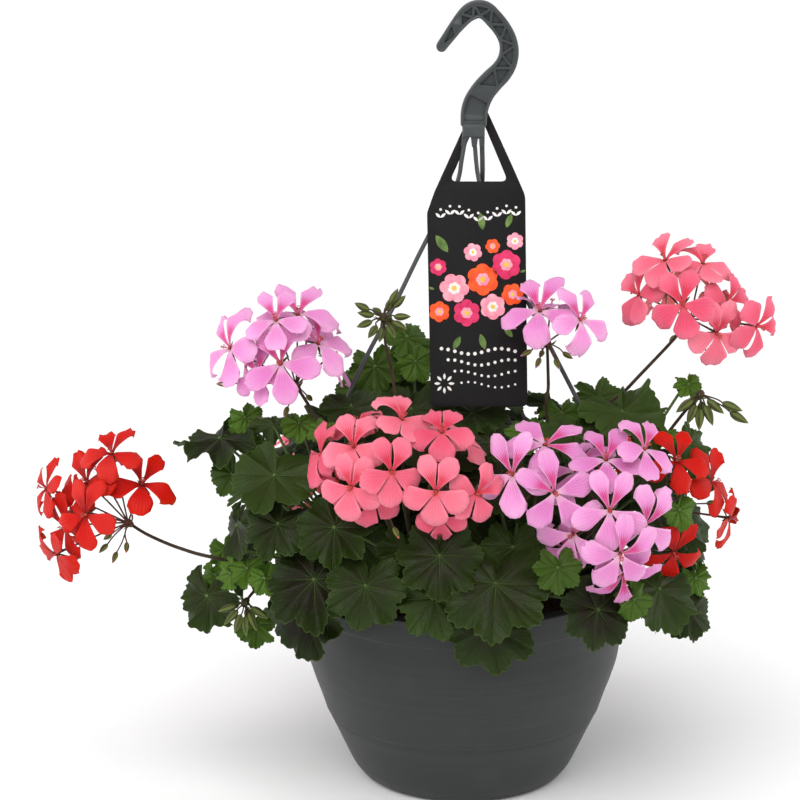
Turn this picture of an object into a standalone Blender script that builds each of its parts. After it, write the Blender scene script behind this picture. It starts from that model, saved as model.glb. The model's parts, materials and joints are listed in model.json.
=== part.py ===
"""Geranium in a moulded plastic hanging pot, with its hanger, its hang tag, leafy stems and flower heads.

Frame: +Z up, the origin at the centre of the pot's base, -Y towards the viewer of the flowers' best side.
Numbers in the tables are millimetres and degrees; meshes are made in metres.
"""
import math
import random

import bmesh
import bpy
from mathutils import Matrix, Quaternion, Vector
from mathutils.bvhtree import BVHTree

MM = 0.001
CLEARANCE = 0.3

# Driving dimensions of the pot
POT_HEIGHT = 172.0
POT_RADIUS = 135.0
POT_FOOT_RADIUS = 80.0
POT_WALL = 2.4
POT_STEPS = 32
LIP_INNER_RADIUS = 124.0
LIP_THICKNESS = 2.6
LEDGE_HEIGHT = 56.0
BAND_HEIGHT = 22.0
FLOOR = 4.6
DRAIN_HOLES = 6
DRAIN_RADIUS = 4.0
DRAIN_CIRCLE = 40.0

# Soil
SOIL_TOP = 156.0
SOIL_STEPS = 32
STEM_HOLE_DEPTH = 26.0

# Hanger
HOOK_THICKNESS = 8.0
POCKET_DEPTH = 2.6
COLLAR_CENTRE = 6.5
COLLAR_WIDTH = 18.0
COLLAR_DEPTH = 9.2
COLLAR_BOTTOM = 541.0
COLLAR_TOP = 551.0
ARM_WIDTH = 4.0
ARM_THICKNESS = 2.6
ARM_CIRCLE = 128.5
CLIP_WIDTH = 8.0
CLIP_HEIGHT = 5.0

# Tag
TAG_THICKNESS = 0.8
TAG_LEAN = math.radians(16.7)

# Plants
STEM_RADIUS = 4.2
STEM_SIDES = 6
PETIOLE_RADIUS = 1.35
PEDUNCLE_RADIUS = 1.9
PEDICEL_RADIUS = 0.8
LEAF_THICKNESS = 2.0
FLORET_THICKNESS = 1.6
HUB_RADIUS = 4.0

ARM_AZIMUTHS = {"front_left": 210, "front_right": 330, "back": 90}


def clear_scene():
    for item in list(bpy.data.objects):
        bpy.data.objects.remove(item, do_unlink=True)


def new_collection(name):
    collection = bpy.data.collections.new(name)
    bpy.context.scene.collection.children.link(collection)
    return collection


def principled(name, colour, roughness, metallic=0.0):
    material = bpy.data.materials.new(name)
    material.use_nodes = True
    shader = material.node_tree.nodes["Principled BSDF"]
    linear = [(int(colour[i:i + 2], 16) / 255.0) ** 2.2 for i in (1, 3, 5)]
    shader.inputs["Base Color"].default_value = (*linear, 1.0)
    shader.inputs["Roughness"].default_value = roughness
    shader.inputs["Metallic"].default_value = metallic
    material.diffuse_color = (*linear, 1.0)
    return material


def add_object(name, mesh, collection, material=None):
    thing = bpy.data.objects.new(name, mesh)
    collection.objects.link(thing)
    if material:
        mesh.materials.clear()
        mesh.materials.append(material)
    return thing


def add_solid(name, solid, collection, material=None):
    """An object from a solid given as (points in mm, faces)."""
    points, faces = solid
    mesh = bpy.data.meshes.new(name)
    mesh.from_pydata([tuple(MM * Vector(p)) for p in points], [], faces)
    mesh.update()
    return add_object(name, mesh, collection, material)


def evaluated_mesh(thing):
    depsgraph = bpy.context.evaluated_depsgraph_get()
    return bpy.data.meshes.new_from_object(thing.evaluated_get(depsgraph))


def hide_cutter(thing):
    thing.hide_render = True
    thing.display_type = "WIRE"


def cut(thing, cutters):
    modifier = thing.modifiers.new("cuts", "BOOLEAN")
    modifier.operation = "DIFFERENCE"
    modifier.operand_type = "COLLECTION"
    modifier.collection = cutters
    modifier.solver = "EXACT"


def fuse(thing, others):
    """Joins every object of a collection to thing with one Boolean union, then removes them."""
    modifier = thing.modifiers.new("fuse", "BOOLEAN")
    modifier.operation = "UNION"
    modifier.operand_type = "COLLECTION"
    modifier.collection = others
    modifier.solver = "MANIFOLD"
    mesh = evaluated_mesh(thing)
    thing.modifiers.clear()
    old = thing.data
    thing.data = mesh
    bpy.data.meshes.remove(old)
    for item in list(others.objects):
        bpy.data.objects.remove(item, do_unlink=True)
    bpy.data.collections.remove(others)


def turned(name, profile, steps, collection, material):
    """A body of revolution: the profile runs up the inside and down the outside."""
    mesh = bpy.data.meshes.new(name)
    edges = [(i, i + 1) for i in range(len(profile) - 1)]
    mesh.from_pydata([(MM * r, 0.0, MM * z) for r, z in profile], edges, [])
    thing = add_object(name, mesh, collection, material)
    screw = thing.modifiers.new("turn", "SCREW")
    screw.steps = steps
    screw.render_steps = steps
    screw.use_merge_vertices = True
    screw.merge_threshold = 0.00005
    return thing


def box(name, centre, size, collection, turn=0.0):
    mesh = bpy.data.meshes.new(name)
    shape = bmesh.new()
    bmesh.ops.create_cube(shape, size=1.0)
    bmesh.ops.scale(shape, vec=Vector(size) * MM, verts=shape.verts)
    shape.to_mesh(mesh)
    shape.free()
    thing = add_object(name, mesh, collection)
    thing.location = Vector(centre) * MM
    thing.rotation_euler = (0.0, 0.0, turn)
    return thing


def prism(name, radius, depth, sides, centre, collection):
    mesh = bpy.data.meshes.new(name)
    shape = bmesh.new()
    bmesh.ops.create_cone(shape, cap_ends=True, segments=sides, radius1=MM * radius,
                          radius2=MM * radius, depth=MM * depth)
    shape.to_mesh(mesh)
    shape.free()
    thing = add_object(name, mesh, collection)
    thing.location = Vector(centre) * MM
    return thing


def curve_through(points, count):
    """Points read at even steps from a smooth curve through the given points."""
    knots = [Vector(p) for p in points]
    knots = [2 * knots[0] - knots[1]] + knots + [2 * knots[-1] - knots[-2]]
    spans = len(knots) - 3
    result = []
    for i in range(count):
        t = i / (count - 1) * spans
        k = min(int(t), spans - 1)
        t -= k
        a, b, c, d = knots[k:k + 4]
        result.append(0.5 * (2 * b + (c - a) * t + (2 * a - 5 * b + 4 * c - d) * t * t
                             + (3 * b - a - 3 * c + d) * t ** 3))
    return result


def bezier(start, start_pull, end_pull, end, count):
    result = []
    for i in range(count):
        t = i / (count - 1)
        s = 1 - t
        result.append(s ** 3 * start + 3 * s * s * t * start_pull + 3 * s * t * t * end_pull + t ** 3 * end)
    return result


def rings_along(path, radii, sides, first_side=None):
    """Rings of points round a path, without twist."""
    rings = []
    side = None
    for i, point in enumerate(path):
        ahead = path[min(i + 1, len(path) - 1)] - path[max(i - 1, 0)]
        ahead.normalize()
        if side is None:
            side = first_side or (Vector((0, 0, 1)) if abs(ahead.z) < 0.9 else Vector((1, 0, 0)))
        side = (side - ahead * side.dot(ahead)).normalized()
        other = ahead.cross(side)
        rings.append([point + radii[i] * (math.cos(a) * side + math.sin(a) * other)
                      for a in (2 * math.pi * (k + 0.5) / sides for k in range(sides))])
    return rings


def skin(rings, cap_start=True, cap_end=True):
    """A closed solid over rings of points; a missing cap is left for the caller to close."""
    sides = len(rings[0])
    points = [p for ring in rings for p in ring]
    faces = []
    for i in range(len(rings) - 1):
        for k in range(sides):
            a, b = i * sides + k, i * sides + (k + 1) % sides
            faces.append((a, b, b + sides, a + sides))
    if cap_start:
        faces.append(tuple(reversed(range(sides))))
    if cap_end:
        last = (len(rings) - 1) * sides
        faces.append(tuple(range(last, last + sides)))
    return points, faces


def tube(path, radius, end_radius, sides):
    radii = [radius + (end_radius - radius) * i / (len(path) - 1) for i in range(len(path))]
    return skin(rings_along(path, radii, sides))


# The pot: a closed profile turned round the axis, slots through the lip, drain holes through the floor

def pot_profile():
    band = POT_HEIGHT - BAND_HEIGHT
    outside = [(POT_RADIUS - 0.9, POT_HEIGHT), (POT_RADIUS, POT_HEIGHT - 1.2), (POT_RADIUS - 0.5, band + 1),
               (POT_RADIUS - 1.4, band), (131.2, 110), (126.0, 90), (120.7, 75),
               (115.3, LEDGE_HEIGHT + 2.5), (113.4, LEDGE_HEIGHT + 0.8), (112.6, LEDGE_HEIGHT - 2.5),
               (106.3, 40), (99.5, 25), (93.2, 12), (87.5, 4.5), (POT_FOOT_RADIUS, 0),
               (62, 0), (60, 2), (26, 2), (24, 0), (0, 0)]
    inside = [(0, FLOOR), (82, FLOOR), (91, 14), (104, 41), (118.3, 75), (128.8, 110),
              (POT_RADIUS - POT_WALL - 0.6, band), (POT_RADIUS - POT_WALL, POT_HEIGHT - LIP_THICKNESS),
              (LIP_INNER_RADIUS, POT_HEIGHT - LIP_THICKNESS), (LIP_INNER_RADIUS, POT_HEIGHT)]
    return inside, outside


def make_pot(collection, cutters):
    inside, outside = pot_profile()
    plastic = principled("pot_matte_polypropylene", "#3d3f42", 0.55)
    pot = turned("pot", inside + outside, POT_STEPS, collection, plastic)
    for name, azimuth in ARM_AZIMUTHS.items():
        turn = math.radians(azimuth)
        centre = (ARM_CIRCLE * math.cos(turn), ARM_CIRCLE * math.sin(turn), POT_HEIGHT)
        size = (ARM_THICKNESS + 2 * CLEARANCE, ARM_WIDTH + 2 * CLEARANCE, 12.0)
        hide_cutter(box("slot_" + name, centre, size, cutters, turn))
    for k in range(DRAIN_HOLES):
        turn = 2 * math.pi * k / DRAIN_HOLES
        centre = (DRAIN_CIRCLE * math.cos(turn), DRAIN_CIRCLE * math.sin(turn), 3.0)
        hide_cutter(prism(f"drain_{k}", DRAIN_RADIUS, 12.0, 8, centre, cutters))
    cut(pot, cutters)
    return pot


# The stems' places: eight leaning outwards round the pot and four upright in the middle

def stem_places():
    places = []
    for k in range(8):
        azimuth = math.radians(22.5 + 45 * k)
        places.append((azimuth, 74.0, 112.0, 214.0))
    for k in range(4):
        azimuth = math.radians(90 * k + 12)
        places.append((azimuth, 30.0, 42.0, 262.0))
    return places


def stem_foot(place):
    azimuth, foot, tip, height = place
    return Vector((foot * math.cos(azimuth), foot * math.sin(azimuth), SOIL_TOP))


def stem_path(place):
    """From the bottom of its hole, straight out of the soil, then leaning out in two slight bends."""
    azimuth, foot, tip, height = place
    out = Vector((math.cos(azimuth), math.sin(azimuth), 0))
    across = Vector((-out.y, out.x, 0))
    base = stem_foot(place)
    rise = height - SOIL_TOP
    return [base - Vector((0, 0, STEM_HOLE_DEPTH - 0.6)), base + Vector((0, 0, 1.0)),
            base + 0.30 * (tip - foot) * out + 2.5 * across + Vector((0, 0, 0.38 * rise)),
            base + 0.62 * (tip - foot) * out - 2.0 * across + Vector((0, 0, 0.70 * rise)),
            base + (tip - foot) * out + Vector((0, 0, rise))]


def stem_solid(place):
    path = stem_path(place)
    radii = [STEM_RADIUS, STEM_RADIUS, STEM_RADIUS * 0.9, STEM_RADIUS * 0.85, STEM_RADIUS * 0.6]
    rings = []
    for i, point in enumerate(path):
        lean = Vector((0, 0, 1)) if i < 2 else (path[min(i + 1, 4)] - path[i - 1]).normalized()
        turn = Vector((0, 0, 1)).rotation_difference(lean)
        rings.append([point + turn @ Vector((radii[i] * math.cos(a), radii[i] * math.sin(a), 0))
                      for a in (2 * math.pi * (k + 0.5) / STEM_SIDES for k in range(STEM_SIDES))])
    return skin(rings)


def make_soil(collection, cutters):
    """Potting soil up to its top level, clear of the pot, with a plain hole for each stem."""
    inside, outside = pot_profile()
    wall = [(r - CLEARANCE - 0.2, z) for r, z in inside[2:6]]
    top_radius = 131.4 - CLEARANCE - 0.2
    profile = [(0, SOIL_TOP), (LIP_INNER_RADIUS - 10, SOIL_TOP), (top_radius, SOIL_TOP - 4)]
    profile += list(reversed(wall)) + [(81, FLOOR + CLEARANCE), (0, FLOOR + CLEARANCE)]
    peat = principled("peat_potting_soil", "#2b1d13", 0.95)
    soil = turned("soil", profile, SOIL_STEPS, collection, peat)
    hole_radius = STEM_RADIUS + CLEARANCE / math.cos(math.pi / STEM_SIDES)
    for k, place in enumerate(stem_places()):
        foot = stem_foot(place)
        centre = foot + Vector((0, 0, 10 - STEM_HOLE_DEPTH / 2))
        hole = prism(f"stem_hole_{k}", hole_radius, STEM_HOLE_DEPTH + 20, STEM_SIDES, centre, cutters)
        hide_cutter(hole)
    cut(soil, cutters)
    return soil


# The hanger: one moulding of hook, collar, three arms and their end clips

HOOK_LINE = [(-19.6, 614.1, 8.4), (-13.5, 622.5, 9.6), (-7.0, 631.3, 11.2), (-0.5, 638.8, 13.0),
             (4.5, 642.4, 14.0), (10.0, 643.9, 14.0), (16.0, 642.2, 14.4), (22.4, 636.0, 14.5),
             (28.6, 628.4, 14.2), (33.0, 620.0, 14.5), (34.6, 611.4, 15.2), (33.2, 602.3, 16.2),
             (28.6, 594.0, 17.4), (20.8, 586.0, 18.4), (13.8, 577.6, 19.4), (8.8, 568.2, 21.0),
             (6.8, 559.6, 21.4), (6.5, 550.4, 21.0)]
ARM_ROUTES = {
    "front_left": [(0.8, -1, 546), (-2.8, -2.9, 524), (-6.8, -2.2, 503), (-20, -8.6, 480),
                   (-38, -20.4, 447), (-58, -33, 408), (-79, -45, 371), (-98, -56, 330), (-109, -63, 290),
                   (-115, -66.5, 250), (-115.5, -66.6, 212), (-112.6, -65, 184)],
    "front_right": [(6.5, 0, 546), (10.5, -2, 508), (18.5, -6.6, 484), (27, -13, 462), (49, -28, 414),
                    (66, -38, 381), (89, -52, 338), (99, -57.5, 319), (110, -63.5, 285),
                    (115, -66.5, 250), (115.5, -66.6, 212), (112.6, -65, 184)],
    "back": [(13, 0, 546), (14, 7, 505), (11, 25, 462), (8, 46, 421), (4, 68, 382), (2, 91, 345),
             (0, 112, 305), (0, 126, 265), (0, 132, 230), (0, 132, 200), (0, 129.5, 184)],
}


def hook_stations(count):
    """Even stations on the hook's centre line: the point, the side direction and half the width."""
    smooth = curve_through(HOOK_LINE, count)
    stations = []
    for i, (x, z, width) in enumerate(smooth):
        x0, z0, w0 = smooth[max(i - 1, 0)]
        x1, z1, w1 = smooth[min(i + 1, count - 1)]
        ahead = Vector((x1 - x0, 0, z1 - z0)).normalized()
        stations.append((Vector((x, 0, z)), Vector((-ahead.z, 0, ahead.x)), width / 2))
    return stations


def flat_plate(name, outlines, thickness, collection):
    """A plate from outlines in the X-Z plane, the first the edge and the others its openings."""
    curve = bpy.data.curves.new(name, "CURVE")
    curve.dimensions = "2D"
    curve.fill_mode = "BOTH"
    curve.extrude = MM * thickness / 2
    for outline in outlines:
        spline = curve.splines.new("POLY")
        spline.points.add(len(outline) - 1)
        spline.use_cyclic_u = True
        for point, (x, z) in zip(spline.points, outline):
            point.co = (MM * x, MM * z, 0.0, 1.0)
    plate = bpy.data.objects.new(name, curve)
    collection.objects.link(plate)
    plate.rotation_euler = (math.radians(90), 0, 0)
    bpy.context.view_layer.update()
    mesh = evaluated_mesh(plate)
    mesh.transform(plate.matrix_world)
    shape = bmesh.new()
    shape.from_mesh(mesh)
    bmesh.ops.remove_doubles(shape, verts=shape.verts, dist=0.00001)
    bmesh.ops.recalc_face_normals(shape, faces=shape.faces)
    if shape.calc_volume(signed=True) < 0:
        bmesh.ops.reverse_faces(shape, faces=shape.faces)
    shape.to_mesh(mesh)
    shape.free()
    bpy.data.objects.remove(plate, do_unlink=True)
    bpy.data.curves.remove(curve)
    return add_object(name, mesh, collection)


def hook_outline():
    stations = hook_stations(22)
    left = [centre + side * half for centre, side, half in stations]
    right = [centre - side * half for centre, side, half in stations]
    tip, side, half = stations[0]
    ahead = Vector((side.z, 0, -side.x))
    nose = [tip - ahead * half * math.sin(a) + side * half * math.cos(a)
            for a in (math.radians(45), math.radians(90), math.radians(135))]
    return [(p.x, p.z) for p in left[::-1] + nose + right]


def pocket_outlines():
    """Triangular pockets between zig-zag ribs, and the plain recess in the neck."""
    stations = hook_stations(61)
    rim = 2.4
    rib = 0.75
    knots = []
    for k in range(15):
        centre, side, half = stations[6 + 3 * k]
        knots.append(centre + side * (half - rim) * (1 if k % 2 else -1))
    pockets = []
    for a, b, c in zip(knots, knots[1:], knots[2:]):
        lengths = [(b - c).length, (c - a).length, (a - b).length]
        total = sum(lengths)
        middle = (a * lengths[0] + b * lengths[1] + c * lengths[2]) / total
        area = (b - a).cross(c - a).length / 2
        shrink = 1 - rib / (2 * area / total)
        pockets.append([((middle + (p - middle) * shrink).x, (middle + (p - middle) * shrink).z)
                        for p in (a, b, c)])
    pockets.append([(3.0, 554.0), (13.2, 554.0), (14.6, 569.0), (6.2, 569.0)])
    return pockets


def arm_end(azimuth):
    turn = math.radians(azimuth)
    return Vector((ARM_CIRCLE * math.cos(turn), ARM_CIRCLE * math.sin(turn), 0))


def arm_solid(route, azimuth):
    end = arm_end(azimuth)
    lip_bottom = POT_HEIGHT - LIP_THICKNESS
    path = [Vector(p) for p in route] + [end + Vector((0, 0, POT_HEIGHT + 4)),
                                         end + Vector((0, 0, lip_bottom - CLEARANCE - 2))]
    turn = math.radians(azimuth)
    radial = Vector((math.cos(turn), math.sin(turn), 0))
    across = Vector((-radial.y, radial.x, 0))
    rings = []
    for i, point in enumerate(path):
        ahead = (path[min(i + 1, len(path) - 1)] - path[max(i - 1, 0)]).normalized()
        out = (radial - ahead * radial.dot(ahead)).normalized()
        if i >= len(path) - 2:
            out = radial
        u, v = across * ARM_WIDTH / 2, out * ARM_THICKNESS / 2
        rings.append([point + u + v, point - u + v, point - u - v, point + u - v])
    return skin(rings)


def make_hanger(collection, cutters):
    plastic = principled("hanger_polypropylene", "#4b5152", 0.5)
    hanger = flat_plate("hanger", [hook_outline()], HOOK_THICKNESS, collection)
    hanger.data.materials.append(plastic)
    for k, outline in enumerate(pocket_outlines()):
        for face in (-1, 1):
            pocket = flat_plate(f"pocket_{k}_{face}", [outline], 2 * POCKET_DEPTH, cutters)
            pocket.location = (0, face * MM * HOOK_THICKNESS / 2, 0)
            hide_cutter(pocket)
    cut(hanger, cutters)
    mesh = evaluated_mesh(hanger)
    hanger.modifiers.clear()
    hanger.data = mesh
    pieces = new_collection("hanger_pieces")
    size = (COLLAR_WIDTH, COLLAR_DEPTH, COLLAR_TOP - COLLAR_BOTTOM)
    box("collar", (COLLAR_CENTRE, 0, (COLLAR_TOP + COLLAR_BOTTOM) / 2), size, pieces)
    for name, azimuth in ARM_AZIMUTHS.items():
        add_solid("arm_" + name, arm_solid(ARM_ROUTES[name], azimuth), pieces)
        lip_bottom = POT_HEIGHT - LIP_THICKNESS
        end = arm_end(azimuth)
        centre = end + Vector((0, 0, lip_bottom - CLEARANCE - CLIP_HEIGHT / 2))
        box("clip_" + name, centre, (ARM_THICKNESS, CLIP_WIDTH, CLIP_HEIGHT), pieces, math.radians(azimuth))
    for piece in pieces.objects:
        bpy.context.view_layer.update()
        piece.data.transform(piece.matrix_world)
        piece.matrix_world = Matrix()
    fuse(hanger, pieces)
    return hanger


# The tag: a thin card with a long eye, hung round the neck and leaning on the two front arms

def rounded(corners, steps=3):
    """An outline whose corners (x, z, radius) are rounded."""
    outline = []
    count = len(corners)
    for i, (x, z, radius) in enumerate(corners):
        here = Vector((x, z))
        before = (Vector(corners[i - 1][:2]) - here).normalized()
        after = (Vector(corners[(i + 1) % count][:2]) - here).normalized()
        half = before.angle(after) / 2
        reach = radius / math.tan(half)
        start, end = here + before * reach, here + after * reach
        for k in range(steps + 1):
            t = k / steps
            outline.append(tuple((1 - t) ** 2 * start + 2 * t * (1 - t) * here + t * t * end))
    return outline


# The card's hanging line: its height and how far behind the hook's middle it is, and how far up the card
TAG_HANG_HEIGHT = 549.0
TAG_HANG_BACK = 7.7
TAG_HANG_LENGTH = 231.0
TAG_EDGE = [(50.0, 3.4, 5), (-28.0, 3.4, 5), (-31.0, 160, 12), (-25.0, 177, 20), (7.6, 249, 3),
            (14.8, 249, 3),
            (39.0, 195.6, 40), (48.4, 174, 20)]
TAG_EYE = [(-12.6, 185.4, 3.8), (34.4, 185.4, 4), (13.4, 236, 1.2), (10.2, 236, 1.2)]


def make_tag(collection):
    """The outlines run up the card from its bottom edge; the card then leans about its hanging line."""
    card = principled("tag_black_card", "#231f24", 0.45)
    tag = flat_plate("hang_tag", [rounded(TAG_EDGE), rounded(TAG_EYE)], TAG_THICKNESS, collection)
    tag.data.materials.append(card)
    hang = Vector((0, MM * TAG_HANG_BACK, MM * TAG_HANG_HEIGHT))
    up_card = MM * TAG_HANG_LENGTH
    lean = Matrix.Rotation(-TAG_LEAN, 4, "X")
    tag.data.transform(Matrix.Translation(hang) @ lean @ Matrix.Translation((0, 0, -up_card)))
    return tag


# Leaves: a lobed blade that spreads from the top of its stalk, where its veins meet

LOBES = 7
LOBE_STEP = 47.0


def leaf_reach(angle):
    """The blade's reach for a width of 1, at an angle from the tip in degrees."""
    lobe = 1.0 + 0.075 * math.cos(2 * math.pi * angle / LOBE_STEP)
    return (0.485 + 0.035 * math.cos(math.radians(angle))) * lobe


def leaf_outline_angles():
    angles = [180.0]
    for k in range(LOBES):
        middle = (k - (LOBES - 1) / 2) * LOBE_STEP
        angles += [middle - 11.0, middle + 11.0]
        if k < LOBES - 1:
            angles.append(middle + LOBE_STEP / 2)
    return angles


def leaf_height(angle, width, droop, wave, phase):
    """How far the margin stands off the leaf's plane."""
    slow = math.sin(math.radians(3 * angle + phase))
    quick = math.cos(math.radians(5 * angle - phase))
    return width * (-droop + wave * (slow + 0.5 * quick))


def leaf_edge(leaf, width):
    edge = []
    for angle in leaf_outline_angles():
        reach = width * (0.13 if angle == 180.0 else leaf_reach(angle))
        rise = leaf_height(angle, width, leaf["droop"], leaf["wave"], leaf["phase"])
        if angle == 180.0:
            rise = -0.02 * width
        turn = math.radians(angle)
        edge.append(Vector((reach * math.sin(turn), reach * math.cos(turn), rise)))
    return edge


def facing(normal, tip):
    """A rotation whose Z is the normal and whose Y points as near to tip as it can."""
    z = Vector(normal).normalized()
    y = Vector(tip) - z * Vector(tip).dot(z)
    y.normalize()
    return Matrix((y.cross(z), y, z)).transposed()


def leaf_frame(leaf, extra_lean=0.0):
    lean = math.radians(leaf["lean"] + extra_lean)
    face = math.radians(leaf["face"])
    normal = Vector((math.sin(lean) * math.cos(face), math.sin(lean) * math.sin(face), math.cos(lean)))
    downhill = Vector((math.cos(lean) * math.cos(face), math.cos(lean) * math.sin(face), -math.sin(lean)))
    tip = Quaternion(normal, math.radians(leaf["roll"])) @ downhill
    return facing(normal, tip)


# Small shifts that a crowded leaf tries in turn: lift along its normal, extra lean, share of its width
LEAF_TRIALS = [(0, 0, 1.0), (3, 0, 1.0), (-3, 0, 1.0), (6, 0, 1.0), (-6, 0, 1.0), (0, 8, 1.0), (0, -8, 1.0),
               (5, 8, 1.0), (5, -8, 1.0), (-5, 8, 1.0), (-5, -8, 1.0), (9, 0, 0.94), (-9, 0, 0.94),
               (0, 14, 0.94), (0, -14, 0.94), (8, 12, 0.9), (8, -12, 0.9), (-8, 12, 0.9), (-8, -12, 0.9),
               (12, 0, 0.88), (-12, 0, 0.88), (0, 20, 0.88), (0, -20, 0.88), (4, 0, 0.8), (-4, 0, 0.8),
               (10, 16, 0.8), (10, -16, 0.8), (-10, 16, 0.8), (-10, -16, 0.8), (15, 0, 0.78),
               (-15, 0, 0.78),
               (0, 26, 0.72), (0, -26, 0.72), (0, 0, 0.66), (6, 0, 0.66), (-6, 0, 0.66), (18, 8, 0.66)]
STALK_BOWS = (0.0, 0.16, -0.16, 0.3, -0.3)


def stalk_path(root, root_lean, joint, turn, bow):
    """A leaf stalk from its stem, bowed sideways, coming up under the blade from its notched side."""
    arrive = turn @ Vector((0, 0.42, 0.9)).normalized()
    reach = (joint - root).length
    side = (joint - root).cross(Vector((0, 0, 1))).normalized() * bow * reach
    return bezier(root, root + root_lean * 0.34 * reach + side, joint - arrive * 0.34 * reach + side,
                  joint - arrive * 0.9, 4)


def leaf_solid(leaf, trial, bow):
    """Points and faces: the blade's edge, its top, the rings of the stalk and the stalk's root."""
    lift, extra_lean, share = trial
    turn = leaf_frame(leaf, extra_lean)
    width = leaf["width"] * share
    joint = Vector(leaf["joint"]) + turn @ Vector((0, 0, lift))
    edge = [joint + turn @ p for p in leaf_edge(leaf, width)]
    thick = LEAF_THICKNESS * min(1.0, width / 60 + 0.3)
    top = joint + turn @ Vector((0, 0, thick / 2))
    path = stalk_path(leaf["root"], leaf["root_lean"], joint, turn, bow)
    radii = [PETIOLE_RADIUS * 1.15] + [PETIOLE_RADIUS] * (len(path) - 1)
    rings = rings_along(path, radii, 3, turn @ Vector((1, 0, 0)))
    count = len(edge)
    points = edge + [top]
    faces = [(i, count, (i + 1) % count) for i in range(count)]
    stalk, stalk_faces = skin(rings, True, False)
    base = len(points)
    points += stalk
    last = base + 3 * (len(rings) - 1)
    faces += [tuple(base + k for k in face) for face in stalk_faces]
    faces += collar_faces(points, count, last, turn @ Vector((0, 0, 1)))
    return points, faces


def collar_faces(points, count, last, up):
    """Joins the underside of a blade, edge points 0..count-1, to the stalk's last ring of three."""
    hub = (points[last] + points[last + 1] + points[last + 2]) / 3
    arms = [points[last + k] - hub for k in range(3)]
    arms = [arm - up * arm.dot(up) for arm in arms]
    nearest = []
    for i in range(count):
        spoke = points[i] - hub
        spoke -= up * spoke.dot(up)
        nearest.append(max(range(3), key=lambda k: spoke.dot(arms[k]) / arms[k].length))
    faces = []
    for i in range(count):
        j = (i + 1) % count
        faces.append((i, j, last + nearest[i]))
        if nearest[i] != nearest[j]:
            faces.append((last + nearest[i], j, last + nearest[j]))
    return faces


def guard(solid, edge_count, frame_up):
    """A slightly swollen copy of a blade, to keep a gap between neighbours."""
    points, faces = solid
    up = frame_up * 0.55
    upper = [p + up for p in points[:edge_count]] + [points[edge_count] + up]
    lower = [p - up for p in points[:edge_count]]
    centre = len(upper) + edge_count
    pts = upper + lower + [points[edge_count] - frame_up * 2.6]
    fcs = [(i, edge_count, (i + 1) % edge_count) for i in range(edge_count)]
    for i in range(edge_count):
        j = (i + 1) % edge_count
        fcs.append((edge_count + 1 + i, edge_count + 1 + j, centre))
        fcs.append((i, j, edge_count + 1 + j, edge_count + 1 + i))
    return pts, fcs


# Florets: five petals, two upper and three lower, spread in a star over the end of the flower's stalk

PETAL_ANGLES = (24.0, 112.0, 180.0, 248.0, 336.0)
PETAL_LENGTHS = (1.0, 0.92, 0.96, 0.92, 1.0)
PETAL_WIDTHS = (0.56, 0.62, 0.66, 0.62, 0.56)
FLORET_POINTS = 25


def floret_edge(floret, size):
    """Five points a petal: the gap before it, then its broad end from side to side."""
    edge = []
    cup = floret["cup"]
    for k, angle in enumerate(PETAL_ANGLES):
        length = size * PETAL_LENGTHS[k]
        half = size * PETAL_WIDTHS[k] / 2
        before = PETAL_ANGLES[k - 1] - (360 if k == 0 else 0)
        gap = math.radians((before + angle) / 2)
        lift = cup[k] * length
        edge.append(Vector((0.2 * size * math.sin(gap), 0.2 * size * math.cos(gap), 0.0)))
        turn = math.radians(angle)
        along = Vector((math.sin(turn), math.cos(turn), 0))
        across = Vector((along.y, -along.x, 0))
        for share, side in ((0.7, -1.0), (0.98, -0.52), (0.98, 0.52), (0.7, 1.0)):
            edge.append(share * length * along + side * half * across + Vector((0, 0, share ** 2 * lift)))
    return edge


FLORET_TRIALS = [(0, 0, 1.0), (2.5, 0, 1.0), (-2.5, 0, 1.0), (0, 18, 1.0), (0, -18, 1.0), (5, 0, 1.0),
                 (-5, 0, 1.0), (4, 20, 0.95), (4, -20, 0.95), (-4, 20, 0.95), (-4, -20, 0.95), (8, 0, 0.95),
                 (-8, 0, 0.95), (8, 30, 0.9), (-8, 30, 0.9), (8, -30, 0.9), (-8, -30, 0.9), (11, 0, 0.88),
                 (-11, 0, 0.88), (0, 36, 0.88), (14, 0, 0.82), (-14, 0, 0.8), (0, 0, 0.74), (5, 36, 0.74)]


def floret_solid(floret, trial):
    push, roll, share = trial
    turn = facing(floret["normal"], floret["up"]) @ Matrix.Rotation(math.radians(roll), 3, "Z")
    size = floret["size"] * share
    centre = Vector(floret["centre"]) + turn @ Vector((0, 0, push))
    edge = [centre + turn @ p for p in floret_edge(floret, size)]
    top = centre + turn @ Vector((0, 0, FLORET_THICKNESS / 2))
    root = floret["hub"]
    arrive = turn @ Vector((0, 0, 1))
    reach = (centre - root).length
    start = (centre - root).normalized()
    path = bezier(root, root + start * 0.4 * reach, centre - arrive * 0.35 * reach,
                  centre - arrive * 1.1, 3)
    rings = rings_along(path, [PEDICEL_RADIUS] * 3, 3, turn @ Vector((1, 0, 0)))
    count = len(edge)
    points = edge + [top]
    faces = [(i, count, (i + 1) % count) for i in range(count)]
    stalk, stalk_faces = skin(rings, True, False)
    base = len(points)
    points += stalk
    faces += [tuple(base + k for k in face) for face in stalk_faces]
    faces += collar_faces(points, count, base + 3 * (len(rings) - 1), arrive)
    return points, faces


# Buds: small pointed spindles on thin stalks, fused to the bunch that they grow from

def bud_solid(root, centre, length, width):
    ahead = (centre - root).normalized()
    turn = Vector((0, 0, 1)).rotation_difference(ahead)
    waist = [centre + turn @ Vector((width / 2 * math.cos(a), width / 2 * math.sin(a), 0))
             for a in (math.radians(45 + 90 * k) for k in range(4))]
    points = waist + [centre + ahead * length * 0.6, centre - ahead * length * 0.4]
    faces = []
    for k in range(4):
        j = (k + 1) % 4
        faces += [(k, j, 4), (j, k, 5)]
    return points, faces


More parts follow.
